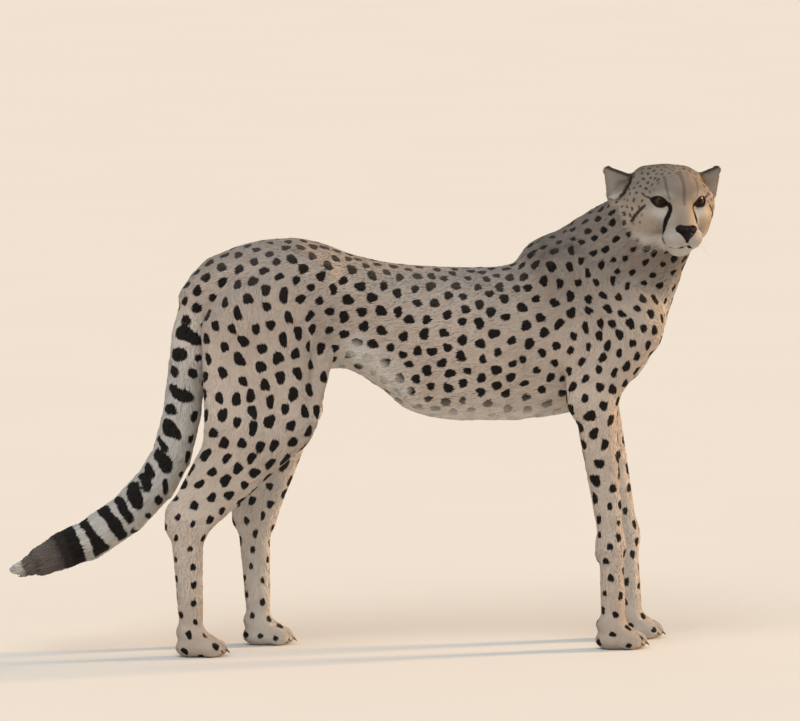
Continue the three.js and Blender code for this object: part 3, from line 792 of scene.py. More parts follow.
def mesh_piece(name, points, loops, sizes, values, uv=None):
    """A mesh object at the origin from points in design millimetres and faces given by their corners."""
    mesh = bpy.data.meshes.new(name)
    mesh.vertices.add(len(points))
    mesh.vertices.foreach_set("co", to_metres(points).astype(np.float32).ravel())
    mesh.loops.add(len(loops))
    mesh.loops.foreach_set("vertex_index", loops.astype(np.int32))
    mesh.polygons.add(len(sizes))
    starts = np.concatenate([[0], np.cumsum(sizes)[:-1]])
    mesh.polygons.foreach_set("loop_start", starts.astype(np.int32))
    mesh.update(calc_edges=True)
    mesh.validate()
    add_values(mesh, values)
    if uv is not None:
        layer = mesh.uv_layers.new(name="OFBake")
        layer.uv.foreach_set("vector", uv.astype(np.float32).ravel())
    return new_object(name, mesh)


def corner_table(quads, triangles):
    """The corners of all faces in one list, and how many each face has."""
    loops = np.concatenate([quads.ravel(), triangles.ravel()])
    sizes = np.concatenate([np.full(len(quads), 4), np.full(len(triangles), 3)])
    return loops, sizes


def areas_of(points, corners):
    sides = points[corners]
    return np.linalg.norm(np.cross(sides[:, 1] - sides[:, 0], sides[:, 2] - sides[:, 0]), axis=1) / 2


def tree_of(points):
    """A search tree over points, numbered as they stand."""
    tree = KDTree(len(points))
    for i, point in enumerate(points):
        tree.insert(point, i)
    tree.balance()
    return tree


def nearest_in(tree, points):
    return np.array([tree.find(point)[1] for point in points])


def only(piece):
    """Selects one piece and nothing else."""
    bpy.ops.object.select_all(action="DESELECT")
    piece.select_set(True)
    bpy.context.view_layer.objects.active = piece


def edit(piece, *steps):
    """Runs each step in edit mode on the whole of one piece."""
    only(piece)
    bpy.ops.object.mode_set(mode="EDIT")
    for step in steps:
        bpy.ops.mesh.select_all(action="SELECT")
        step()
    bpy.ops.object.mode_set(mode="OBJECT")


def new_object(name, data):
    made = bpy.data.objects.new(name, data)
    bpy.context.scene.collection.objects.link(made)
    return made


def waves(p, size, seed):
    """A soft random value from about -1 to 1 that changes over size."""
    rng = np.random.default_rng(seed)
    out = np.zeros(len(p))
    for _ in range(6):
        direction = rng.normal(size=3)
        direction *= 2 * math.pi / (size * rng.uniform(0.6, 1.7) * np.linalg.norm(direction))
        out += np.sin(p @ direction + rng.uniform(0, 2 * math.pi))
    return out / 2.4


# ---------------------------------------------------------------- the lie of the hair and the kinds of coat
LIE_REACH = 9  # how far the lie of one part reaches into the next
COAT_REACH = 5  # and its kind of coat
DEEPEST = -20


def along_leg(p, leg, chain):
    """Down a leg: the direction of the bone at each point's height."""
    places = np.array([joints_of(leg)(joint) for joint in chain])
    heights = (places[:-1, 2] + places[1:, 2]) / 2
    steps = unit(places[1:] - places[:-1])
    order = np.argsort(heights)
    return np.stack([np.interp(p[:, 2], heights[order], steps[order, i]) for i in range(3)], axis=1)


def head_lie(p):
    """Over the head the hair runs back from the nose, down the cheeks and up the ears."""
    q = to_head(p)
    away = unit(q - (60, 0, -30))
    away[:, 2] -= 0.5 * smooth(-20, -60, q[:, 2]) + 0.25 * smooth(30, 70, np.abs(q[:, 1]))
    for ear in EARS.values():
        r = in_ear(q, ear)
        on_ear = np.exp(-np.maximum(ear_shape(r, 0), 0) / 3) * smooth(-20, 0, r[:, 2])
        outward = ear_axes(ear)[:, 1] * ear["side"]
        up = ear_axes(ear)[:, 2] + outward * (0.25 + 0.9 * cup_at(r)[:, None])
        away = away + (2.5 * on_ear)[:, None] * up
    return unit(away) @ HEAD_AXES.T


def lie_at(p, normal, d):
    """Direction of the hair along the skin."""
    flows = {
        "trunk": np.tile([-1.0, 0, -0.34], (len(p), 1)),
        "neck": np.tile([-0.74, 0.12, -0.66], (len(p), 1)),
        "head": head_lie(p),
        "tail": tail_place(p)[3],
    }
    for word, leg in LEGS.items():
        flows[f"hind_{word}"] = along_leg(p, leg, ("hip", "knee", "hock", "hind_paw"))
        flows[f"fore_{word}"] = along_leg(p, leg, ("scapula", "shoulder", "elbow", "wrist", "fore_paw"))
    total = np.zeros((len(p), 3))
    for name, flow in flows.items():
        total += np.exp(-np.clip(d[name], DEEPEST, FAR) / LIE_REACH)[:, None] * flow
    on_paw = smooth(48, 30, p[:, 2])[:, None]
    total = unit(total) * (1 - on_paw) + np.array([1.0, 0, -0.5]) * on_paw
    total -= (total * normal).sum(1, keepdims=True) * normal
    return unit(total)


# Length, width and height of the tufts, and the area each has, by part.
COATS = {
    "trunk": (12.0, 1.6, 2.0, 4.1),
    "neck": (11.5, 1.5, 2.2, 3.9),
    "head": (5.4, 0.9, 1.3, 1.45),
    "tail": (13.0, 2.0, 2.8, 5.6),
    "hind": (10.0, 1.5, 1.7, 4.1),
    "fore": (10.0, 1.5, 1.7, 4.1),
}


def coat_at(p, normal, d):
    """Length, width, height over the skin and area of the tufts at each point."""
    x, y, z = p.T
    total, weights = np.zeros((len(p), 4)), np.zeros(len(p))
    for name in PARTS:
        w = np.exp(-np.clip(d[name], DEEPEST, FAR) / COAT_REACH)
        total += w[:, None] * np.array(COATS[name.split("_")[0]])
        weights += w
    length, width, height, area = (total / weights[:, None]).T
    q = to_head(p)
    qx, _, qz = q.T
    belly = smooth(-0.3, -0.85, normal[:, 2]) * smooth(380, 420, z) * smooth(30, 0, d["trunk"])
    nape = smooth(0.2, 0.8, normal[:, 2]) * smooth(60, 10, np.abs(y + 20)) * smooth(180, 300, x)
    nape *= smooth(20, 2, np.minimum(d["neck"], d["trunk"])) * smooth(10, 40, d["head"])
    s, on_tail = tail_place(p)[1], smooth(15, 3, d["tail"])
    tail_end, tail_tip = smooth(430, 600, s) * on_tail, smooth(636, 664, s) * on_tail
    cheek = smooth(-28, -52, qx) * smooth(10, -20, qz) * smooth(8, 0, d["head"])
    paw = smooth(110, 40, z)
    face = smooth(-40, 10, qx) * smooth(8, 0, d["head"])
    longer = 1 + 0.9 * belly + 0.55 * nape + 0.5 * tail_end + 0.6 * cheek
    higher = 1 + 1.2 * belly + 0.7 * nape + 0.6 * tail_end + 0.7 * cheek
    length *= longer * (1 - 0.45 * paw) * (1 - 0.42 * face)
    height *= higher * (1 - 0.5 * paw) * (1 - 0.45 * face)
    width *= (1 - 0.35 * paw) * (1 - 0.2 * face) * (1 + 0.3 * cheek)
    length *= 1 - 0.45 * tail_tip
    area *= (1 - 0.3 * paw) * (1 - 0.25 * face) * (1 - 0.5 * tail_tip)
    for ear in EARS.values():
        r = in_ear(q, ear)
        on_ear = smooth(6, 1, ear_shape(r, 0)) * smooth(-16, 0, r[:, 2])
        hairy = cup_at(r) * smooth(6, -12, r[:, 1] * ear["side"])
        length *= 1 - 0.3 * on_ear + 3.0 * hairy
        height *= 1 - 0.4 * on_ear + 2.4 * hairy
    return length, width, height, area


# ---------------------------------------------------------------- markings
class Spots:
    """Dark spots set evenly over the skin, each a rounded blotch drawn out along the hair."""

    def __init__(self, centres, radius, lie, normal, rng):
        self.centres, self.radius, self.lie = centres, radius, lie
        self.across = np.cross(normal, lie)
        upright = np.abs(lie[:, 2])
        self.stretch = rng.uniform(0.9, 1.12, len(centres)) * (0.92 + 0.26 * upright)
        self.wobble = rng.uniform(0, 2 * math.pi, (len(centres), 2))
        self.tree = tree_of(centres)

    def distance(self, p):
        near = nearest_in(self.tree, p)
        v = p - self.centres[near]
        u, w = (v * self.lie[near]).sum(1), (v * self.across[near]).sum(1)
        lift2 = np.maximum((v**2).sum(1) - u**2 - w**2, 0)
        u, w = u / self.stretch[near], w * self.stretch[near]
        angle = np.arctan2(w, u)
        oval, corner = self.wobble[near].T
        edge = 1 + 0.1 * np.sin(2 * angle + oval) + 0.09 * np.sin(3 * angle + corner)
        square = (u**4 + w**4 + lift2**2) ** 0.25
        round_ = np.sqrt(u**2 + w**2 + lift2)
        return 0.55 * square + 0.45 * round_ - self.radius[near] * edge


SPOT_SPACING, HEAD_SPOT_SPACING = 26.0, 11.0
SPOT_SHARE = 0.335  # radius of a spot over the distance to the next


def spot_plan(p, normal, d):
    """Distance between spots and their radius, at each point."""
    x, _, z = p.T
    on_head = smooth(14, 0, d["head"])
    neckish = smooth(20, 0, d["neck"]) * (1 - on_head)
    on_leg = smooth(30, 5, smallest(*[d[name] for name in LEG_NAMES])) * smooth(470, 400, z)
    low = smooth(330, 200, z) * on_leg
    thigh = smooth(10, 0, np.minimum(d["hind_left"], d["hind_right"])) * smooth(330, 420, z)
    shoulder = smooth(60, 140, x) * smooth(240, 300, x) * smooth(420, 480, z) * (1 - neckish)
    spacing = SPOT_SPACING + 3.2 * thigh + 2.4 * on_leg * (1 - thigh) - 2.4 * low - 3.4 * neckish
    spacing = spacing - 2.4 * shoulder
    spacing -= 3.0 * smooth(0.4, 0.95, normal[:, 2])  # closer along the back
    spacing = spacing * (1 - on_head) + on_head * HEAD_SPOT_SPACING
    radius = spacing * (SPOT_SHARE - 0.115 * low - 0.04 * on_head - 0.05 * neckish - 0.02 * shoulder)
    return spacing, radius


GROIN = [(-104, 0, 534), (-66, 0, 508), (-18, 0, 458)]  # pale fringe from flank to belly, in side view
GROIN_WIDTH = 26


def face_patch(q, across, up, wide, high):
    """1 at a place on each half of the face, fading away from it."""
    return np.exp(-(((np.abs(q[:, 1]) - across) / wide) ** 2) - ((q[:, 2] - up) / high) ** 2)


def pale_at(p, normal, d):
    """1 on the white of the belly, throat and insides of the legs, 0 on the tawny back and sides."""
    z = p[:, 2]
    trunkish = smooth(20, 0, d["trunk"])
    belly = 0.9 * trunkish * smooth(-0.4, -0.92, normal[:, 2]) * smooth(620, 480, z)
    lower = 0.25 * trunkish * smooth(520, 420, z)
    fringe, _ = segment_distance(p * (1, 0, 1), GROIN)
    groin = 0.95 * trunkish * np.exp(-((fringe / GROIN_WIDTH) ** 2))
    shin = 0.12 * smooth(420, 260, z) * smooth(60, 200, z)
    inside = np.zeros(len(p))
    for word, leg in LEGS.items():
        inward = smooth(0.1, 0.85, -normal[:, 1] * leg["side"])
        for kind in ("hind", "fore"):
            on_leg = smooth(16, 2, d[f"{kind}_{word}"])
            inside = np.maximum(inside, inward * on_leg * smooth(520, 440, z))
    on_front = smooth(12, 0, smallest(d["neck"], d["trunk"])) * smooth(0.2, 0.9, normal[:, 0])
    chest = on_front * smooth(700, 560, z)
    q = to_head(p)
    qx, _, qz = q.T
    on_head = smooth(8, 0, d["head"])
    throat = 0.8 * on_head * smooth(-50, -76, qz)
    muzzle = 0.5 * on_head * smooth(12, 34, qx) * smooth(-30, -50, qz)
    brow = on_head * face_patch(q, 30, 15, 13, 6) * smooth(-30, -8, qx)
    under_eye = on_head * face_patch(q, 38, -20, 15, 11) * smooth(-40, -14, qx)
    tail_under = smooth(12, 2, d["tail"]) * tail_under_at(p)
    whole = largest(
        belly, lower, groin, shin, 0.5 * inside, 0.75 * chest, throat, muzzle, 0.45 * brow, 0.8 * under_eye,
        tail_under,
    )
    return np.clip(whole, 0, 1)


def tail_angle(p):
    """How far round the tail a point lies from its upper, outer side: 0 there and 1 on the under side."""
    _, s, centre, heading = tail_place(p)
    upper = np.cross([0.0, 1.0, 0.0], heading)
    out = unit(p - centre)
    return np.arccos(np.clip((out * unit(upper)).sum(1), -1, 1)) / math.pi, s


def tail_under_at(p):
    angle, s = tail_angle(p)
    pale = np.maximum(smooth(0.5, 0.72, angle), 0.55 * smooth(30, 110, s) + 0.4 * smooth(110, 260, s))
    return pale * (1 - 0.85 * smooth(552, 575, s) * smooth(656, 648, s))


# Bands of the tail from its root: distance along it and half width.
TAIL_RINGS = [(521, 10.0), (479, 10.5)]
TAIL_END = (546, 652)
# Blotches of the tail: distance along it, place round it from 0 on top to 1 beneath, half length,
# half width and how far they slant.
TAIL_BLOTCHES = [
    (84, 0.30, 8, 9, 0), (84, 0.62, 6, 6, 0), (108, 0.42, 9.5, 26, 4), (142, 0.25, 9.5, 17, -2),
    (138, 0.63, 6, 7, 0), (172, 0.20, 7, 10, 0), (168, 0.57, 9, 9, 0), (180, 0.84, 6, 6, 0),
    (206, 0.38, 9.5, 24, 7), (238, 0.22, 8, 14, 0), (242, 0.70, 8, 7.5, 0), (272, 0.32, 11, 20, 6),
    (280, 0.74, 6.5, 6.5, 0), (302, 0.22, 7, 15, 6), (308, 0.76, 8, 7, 0), (332, 0.34, 10.5, 22, 8),
    (341, 0.80, 7, 6, 0), (359, 0.22, 8.5, 15, 5), (366, 0.62, 6, 9, 6), (386, 0.26, 9.5, 19, 5),
    (393, 0.70, 6, 10, 0), (415, 0.30, 10.5, 24, 5), (424, 0.78, 6, 10, 0), (448, 0.32, 10, 28, 4),
    (456, 0.82, 5, 9, 0),
]
TAIL_GIRTH = 107.0  # half way round the tail
TAIL_SQUARENESS = 2.6  # of a blotch's outline, where 2 is an oval
TAIL_BLOTCH_SIZE = 1.18  # of each blotch, over its half sizes in the table
TAIL_PATTERN_FROM = 74  # along the tail, where its own pattern takes over from the spots


def tail_marks(p):
    """Distance to the tail's dark rings, its dark end before the white tip, and its blotches."""
    angle, s = tail_angle(p)
    skew = 5 * waves(p, 40, 5)
    bands = [np.abs(s - at + skew * 0.4) - half for at, half in TAIL_RINGS]
    rings = np.maximum(smallest(*bands), (angle - 0.84) * 90)
    end = np.maximum(np.abs(s - sum(TAIL_END) / 2) - (TAIL_END[1] - TAIL_END[0]) / 2, (angle - 0.93) * 90)
    best = smallest(rings, end)
    shifted = s + skew * 0.6 - 9 * (p[:, 1] > tail_place(p)[2][:, 1])
    for at, round_, half, wide, slant in TAIL_BLOTCHES:
        w = (angle - round_) * TAIL_GIRTH / wide
        u = (shifted - at - slant * w) / half
        out = (np.abs(u) ** TAIL_SQUARENESS + np.abs(w) ** TAIL_SQUARENESS) ** (1 / TAIL_SQUARENESS)
        best = smallest(best, (out - TAIL_BLOTCH_SIZE) * half)
    return best, s


class Line:
    """A dark line on the head, laid onto the skin."""

    def __init__(self, points, start, end, ink):
        dense = []
        for a, b in zip(points[:-1], points[1:]):
            for t in np.linspace(0, 1, 5)[:-1]:
                dense.append(np.array(a, float) * (1 - t) + np.array(b, float) * t)
        dense.append(np.array(points[-1], float))
        self.points = pressed(from_head(np.array(dense)), body, 0.4)
        self.start, self.end, self.ink = start, end, ink

    def distance(self, p):
        d, share = segment_distance(p, self.points)
        return d - (self.start + (self.end - self.start) * share)


FACE_LINES = [  # points in the head's frame, half width at the start and end, depth of colour
    (TEAR_LINE, 4.4, 5.2, 1.0),
    ([(-8, 60, -10), (-15, 64, -19), (-22, 70, -31), (-26, 73, -41)], 2.6, 3.6, 0.9),  # on the cheek
    ([(12, 22, 8), (6, 25, 20), (-8, 27, 38)], 1.8, 3.0, 0.4),  # from the inner corner up the forehead
    ([(22, 1, -2), (10, 1.5, 18), (-16, 2, 44)], 1.6, 2.2, 0.35),  # along the bridge
    ([(-10, 50, 3), (-20, 60, 5)], 2.4, 1.0, 0.85),  # behind the outer corner of the eye
]


def bare_at(p, d):
    """1 on the bare black skin of the lids' edges and lips."""
    q = to_head(p)
    bare = np.zeros(len(p))
    for side in (1, -1):
        gap, deep = opening(q, side)
        rim = smooth(3.4, 2.0, gap) * (deep > 4) * (deep < 26)
        line, share = segment_distance(q, mirrored(MOUTH, side))
        lips = smooth(4.4 - 0.9 * share, 3.1 - 0.7 * share, line)
        bare = largest(bare, rim, lips)
    split, _ = segment_distance(q, LIP_SPLIT)
    nose = nose_form(q) - 0.6
    bare = largest(bare, smooth(3.2, 2.2, split), smooth(1.0, 0, nose))
    sole = smooth(3.0, 1.5, p[:, 2])
    return np.maximum(bare * smooth(12, 4, d["head"]), sole)


# Colours of the coat between the spots.
TAWNY = np.array([0.56, 0.47, 0.395])
BACK = np.array([0.43, 0.36, 0.31])
FACE = np.array([0.42, 0.345, 0.28])
PALE = np.array([0.76, 0.73, 0.68])


def ground_at(p, normal, d):
    """Colour of the coat between its spots; over the neck and withers it is partly painted shade."""
    x, _, z = p.T
    up = (smooth(0.2, 0.95, normal[:, 2]) * smooth(560, 660, z))[:, None]
    tint = TAWNY * (1 - up) + BACK * up
    # Darker over the neck and withers: partly the real smoky mane, partly painted shade on the neck.
    mane_and_neck_shade = smooth(150, 240, x) * smooth(540, 700, z) * smooth(48, 6, smallest(d["neck"], d["trunk"]))
    tint = tint * (1 - 0.48 * mane_and_neck_shade[:, None])
    tint = tint * (0.95 + 0.15 * smooth(600, 470, z)[:, None])
    q = to_head(p)
    qx, qy, qz = q.T
    on_head = (smooth(10, 0, d["head"]) * smooth(-118, -84, qx))[:, None]
    crown = smooth(22, 48, qz) * smooth(-30, -76, qx)
    cheek = smooth(30, 44, np.abs(qy)) * smooth(-6, -22, qz) * smooth(-95, -60, qx)
    shade = (1 - 0.36 * crown) * (1 - 0.22 * smooth(2, 20, qz)) * (1 + 0.25 * cheek)
    tint = tint * (1 - on_head) + FACE * shade[:, None] * on_head
    tint = tint * (1 + 0.06 * waves(p, 160, 11)[:, None])
    pale = pale_at(p, normal, d)
    for ear in EARS.values():
        pale = np.maximum(pale, 0.5 * cup_at(in_ear(q, ear)))
    grey = 0.22 * smooth(100, 180, tail_place(p)[1]) * smooth(20, 4, d["tail"]) * smooth(30, 60, d["trunk"])
    return (tint * (1 - pale[:, None]) + PALE * pale[:, None]) * (1 - grey[:, None])


def ear_mark(q):
    """Distance to the dark patch on the back and the dark upper rim of each ear."""
    best = np.full(len(q), FAR)
    for ear in EARS.values():
        r = in_ear(q, ear)
        on = np.abs(ear_shape(r, 0)) - 3
        back = np.maximum(np.hypot(r[:, 1] / 1.2, r[:, 2] - 2) - 15, r[:, 0] + 1.5)
        edge = -ear_shape(r * (0, 1, 1), 0) / EAR["squash"] - 3.6
        rim = largest(edge, r[:, 1] * ear["side"] + 1, -2 - r[:, 2])
        best = smallest(best, np.maximum(on, smallest(back, rim)))
    return best


def on_ears(q):
    """1 on the ears, 0 over the rest of the head."""
    return smooth(4, 0, smallest(*[ear_shape(in_ear(q, ear), 0) for ear in EARS.values()]))


MARK_REACH = 6  # how far from a line or an ear's patch its distance counts
EAR_INK = 0.7


def values_at(p, normal, d, spots, lines):
    """What skin and tufts carry from their place: ground colour, distance to the marks and their ink."""
    q = to_head(p)
    mark = spots.distance(p)
    pale = pale_at(p, normal, d)
    on_head = smooth(8, 0, d["head"])
    clear = on_head * largest(smooth(-16, 0, q[:, 0]), smooth(-30, -60, q[:, 2]), on_ears(q))
    ink = np.clip(1 - (0.8 + 0.4 * on_head) * smooth(0.45, 0.95, pale) - clear, 0, 1) * (1 - 0.2 * on_head)
    ink = ink * (1 - 0.15 * smooth(0.3, 0.9, normal[:, 2]))
    ink = ink * (1 - 0.6 * smooth(456, 416, p[:, 2]) * smooth(8, 0, d["trunk"]))
    of_tail, s = tail_marks(p)
    others = smallest(d["trunk"], d["hind_right"], d["hind_left"])
    on_tail = (s > TAIL_PATTERN_FROM) & (d["tail"] < others - 2)
    mark = np.where(on_tail, of_tail, mark)
    worn = 0.28 * smooth(TAIL_END[0] + 12, TAIL_END[0] + 60, s) * (s < TAIL_END[1])
    ink = np.where(on_tail, 1 - worn, ink)
    for line in lines:
        far = line.distance(p)
        drawn = (far < np.where(ink > 0.02, mark, FAR)) & (far < MARK_REACH)
        mark, ink = np.where(drawn, far, mark), np.where(drawn, line.ink, ink)
    on_ear = ear_mark(q)
    drawn = on_ear < MARK_REACH
    mark, ink = np.where(drawn, on_ear, mark), np.where(drawn, EAR_INK, ink)
    return dict(tint=ground_at(p, normal, d), mark=np.clip(mark, -20, 20), ink=ink, bare=bare_at(p, d))


# ---------------------------------------------------------------- making the skin
def unwrap(piece):
    """An unwrap of the skin's own shape, as the map OFBake."""
    piece.data.uv_layers.new(name="OFBake")
    edit(piece, lambda: bpy.ops.uv.smart_project(
        angle_limit=math.radians(70), island_margin=0.0008, margin_method="ADD"
    ))


def even_samples(area_each, areas, rng):
    """Indices of faces so that each sample has its share of area, spread evenly through the list."""
    share = np.cumsum(areas / area_each)
    ticks = np.arange(int(share[-1])) + rng.uniform(0, 1, int(share[-1]))
    return np.minimum(np.searchsorted(share, ticks), len(areas) - 1)


def triangles_of(mesh):
    """Corners of a mesh's triangles as vertex and loop indices."""
    mesh.calc_loop_triangles()
    vertices = np.empty(len(mesh.loop_triangles) * 3, np.int32)
    loops = np.empty(len(mesh.loop_triangles) * 3, np.int32)
    mesh.loop_triangles.foreach_get("vertices", vertices)
    mesh.loop_triangles.foreach_get("loops", loops)
    return vertices.reshape(-1, 3), loops.reshape(-1, 3)


def scatter(points, corners, picks, rng):
    """Random places in the picked triangles, with their weights of the corners."""
    a, b = rng.uniform(0, 1, (2, len(picks)))
    over = a + b > 1
    a, b = np.where(over, 1 - a, a), np.where(over, 1 - b, b)
    weights = np.stack([1 - a - b, a, b], axis=1)
    return (points[corners[picks]] * weights[:, :, None]).sum(1), weights


DARTS = 26  # thrown for each spot that there is room for
CROWDING = 0.9  # how near two darts may land, over the distance planned for them
EASINGS = 6
SPOT_LIMIT = 0.37  # radius of a spot over the distance to its nearest neighbour


def place_spots(points, normals, corners, areas, rng):
    """Even, irregular spots: darts thrown over the skin, then eased apart."""
    middle = points[corners].mean(1)
    facing = unit(normals[corners].mean(1))
    d = survey(middle)
    spacing, radius = spot_plan(middle, facing, d)
    picks = even_samples(spacing**2 / DARTS, areas, rng)
    rng.shuffle(picks)
    places, room = middle[picks], spacing[picks]
    kept, kept_room = np.zeros((0, 3)), np.zeros(0)
    for place, own in zip(places, room):
        if (np.linalg.norm(kept - place, axis=1) > CROWDING * (kept_room + own) / 2).all():
            kept = np.concatenate([kept, place[None]])
            kept_room = np.append(kept_room, own)
    for _ in range(EASINGS):
        owner = nearest_in(tree_of(kept), places)
        count = np.maximum(np.bincount(owner, minlength=len(kept)), 1)
        centre = np.stack([np.bincount(owner, places[:, i], len(kept)) / count for i in range(3)], axis=1)
        kept = np.where((count > 1)[:, None], centre, kept)
    face = nearest_in(tree_of(middle), kept)
    d = {name: value[face] for name, value in d.items()}
    centre, normal = middle[face], facing[face]
    size = radius[face] * rng.uniform(0.82, 1.14, len(face))
    tree = tree_of(centre)
    nearest = np.array([tree.find_n(place, 2)[1][2] for place in centre])
    size = np.minimum(size, SPOT_LIMIT * nearest)
    return Spots(centre, size, lie_at(centre, normal, d), normal, rng)


# ---------------------------------------------------------------- making the coat
def blade(bends):
    """Faces of one tuft: a root point, pairs of points across it and a tip, closed underneath."""
    tip = 2 * bends + 1
    faces = [(0, 2, 1), (tip - 1, tip, tip - 2)]
    for pair in range(1, bends):
        left, right = 2 * pair - 1, 2 * pair
        faces += [(left, right, left + 2), (right, right + 2, left + 2)]
    left = [0, *range(1, tip, 2), tip]
    right = [0, *range(2, tip, 2), tip]
    for chain, flip in ((left, False), (right, True)):
        for i in range(1, len(chain) - 1):
            a, b = chain[i], chain[i + 1]
            faces.append((0, b, a) if flip else (0, a, b))
    return np.array(faces)


# Places along a tuft where it bends: share of its length, height and width there.
SHORT_BENDS = [(0.42, 1.0, 1.0)]
LONG_BENDS = [(0.26, 0.65, 1.0), (0.62, 1.0, 0.75)]
TIP_HEIGHT = 0.7  # of a tuft's height, where it comes down again
ROUNDING = 0.5  # how far the shading leans to the sides across a tuft
PATCH = 0.003  # size of a tuft's patch in the unwrap


def tuft_piece(name, root, normal, lie, uv, length, width, height, values, bends, rng):
    """Many tufts as one mesh: each rises from its root and lies down along the hair."""
    count = len(root)
    side = np.cross(normal, lie)
    columns, facing = [root - ROOT_DEPTH * normal], [normal]
    shares, across = [0.0], [0.0]
    for share, rise, wide in bends:
        middle = root + lie * (share * length)[:, None] + normal * (rise * height)[:, None]
        half = (wide * width / 2)[:, None]
        columns += [middle + side * half, middle - side * half]
        facing += [normal + ROUNDING * side, normal - ROUNDING * side]
        shares += [share] * 2
        across += [1.0, -1.0]
    columns.append(root + lie * length[:, None] + normal * (height * TIP_HEIGHT)[:, None])
    facing.append(normal + 0.7 * ROUNDING * lie)
    shares.append(1.0)
    across.append(0.0)
    points = np.stack(columns, axis=1)
    points[:, :, 2] = np.maximum(points[:, :, 2], SOLE)
    per = points.shape[1]
    faces = (np.arange(count)[:, None, None] * per + blade(len(bends))).reshape(-1)
    spread = {key: np.repeat(value, per, axis=0) for key, value in values.items()}
    outward = spread.pop("mark_out")
    share = np.clip((np.tile(shares, count) - 0.3) / 0.7, 0, 1)
    spread["mark"] = spread["mark"] * (1 - share) + outward * share
    spread["tip"] = np.tile(shares, count)
    spread["tone"] = np.repeat(rng.uniform(-1, 1, count), per)
    spread["strand"] = 100 * spread["tone"] + np.tile(across, count)
    local = np.stack([np.array(across) * PATCH / 2, np.array(shares) * PATCH], axis=1)
    vertex_uv = (uv[:, None] + local).reshape(-1, 2)
    sizes = np.full(len(faces) // 3, 3)
    piece = mesh_piece(name, points.reshape(-1, 3), faces, sizes, spread, vertex_uv[faces])
    piece.data.shade_smooth()
    piece.data.normals_split_custom_set_from_vertices(unit(np.stack(facing, axis=1).reshape(-1, 3)))
    return piece


ROOT_DEPTH = 0.6  # how far a tuft's root is set into the skin
MARK_FROM, MARK_TO = 0.3, 0.75  # shares of a tuft's length at which its markings are read
def make_coat(skin, points, normals, spots, lines, rng):
    """All the tufts, as pieces named by the part of the body they grow on."""
    corners, loops = triangles_of(skin.data)
    middle, facing = points[corners].mean(1), unit(normals[corners].mean(1))
    area_each = coat_at(middle, facing, survey(middle))[3]
    picks = even_samples(area_each * (1), areas_of(points, corners), rng)
    root, weights = scatter(points, corners, picks, rng)
    normal = unit((normals[corners[picks]] * weights[:, :, None]).sum(1))
    uv = np.empty(len(skin.data.loops) * 2, np.float32)
    skin.data.uv_layers["OFBake"].uv.foreach_get("vector", uv)
    root_uv = (uv.reshape(-1, 2)[loops[picks]] * weights[:, :, None]).sum(1)
    d = survey(root)
    keep = bare_at(root, d) < 0.45
    root, normal, root_uv = root[keep], normal[keep], root_uv[keep]
    d = {name: value[keep] for name, value in d.items()}
    length, width, height, _ = coat_at(root, normal, d)
    lie = lie_at(root, normal, d)
    side = np.cross(normal, lie)

    def vary():
        return rng.uniform(-1, 1, len(root))

    turn = 0.22 * waves(root, 34, 21) + 0.2 * vary()
    lie = unit(lie + turn[:, None] * side)
    length *= 1 + 0.22 * vary()
    height *= 1 + 0.3 * vary() + 0.15 * waves(root, 22, 22)
    width *= 1 + 0.2 * vary()
    values, outer = (
        values_at(root + (share * length)[:, None] * lie, normal, d, spots, lines)
        for share in (MARK_FROM, MARK_TO)
    )
    values["mark_out"] = outer["mark"]
    names = np.array(list(PARTS))
    owner = names[np.argmin(np.stack([d[name] for name in names]), axis=0)]
    pieces = []
    for name in names:
        mine = np.flatnonzero(owner == name)
        groups = {name: mine}
        if name == "trunk":
            left, front = root[mine, 1] > 0, root[mine, 0] > 30
            groups = {
                f"trunk_{end}_{hand}": mine[(left == is_left) & (front == is_front)]
                for hand, is_left in (("left", True), ("right", False))
                for end, is_front in (("front", True), ("rear", False))
            }
        bends = LONG_BENDS if name == "tail" else SHORT_BENDS
        for group, chosen in groups.items():
            pieces.append(tuft_piece(
                f"coat_{group}", root[chosen], normal[chosen], lie[chosen], root_uv[chosen],
                length[chosen], width[chosen], height[chosen],
                {key: value[chosen] for key, value in values.items()}, bends, rng,
            ))
    return pieces


# ---------------------------------------------------------------- materials
class Wire:
    """A value in a material's node tree. Arithmetic on it adds Math nodes."""

    def __init__(self, finish, socket):
        self.finish, self.socket = finish, socket

    @classmethod
    def learn(cls, name, operation):
        """Gives wires one kind of arithmetic, from either side."""

        def act(self, *values):
            return self.finish.node("ShaderNodeMath", dict(operation=operation), values)

        setattr(cls, f"__{name}__", lambda self, other: act(self, self, other))
        setattr(cls, f"__r{name}__", lambda self, other: act(self, other, self))


for name, operation in (("add", "ADD"), ("sub", "SUBTRACT"), ("mul", "MULTIPLY")):
    Wire.learn(name, operation)


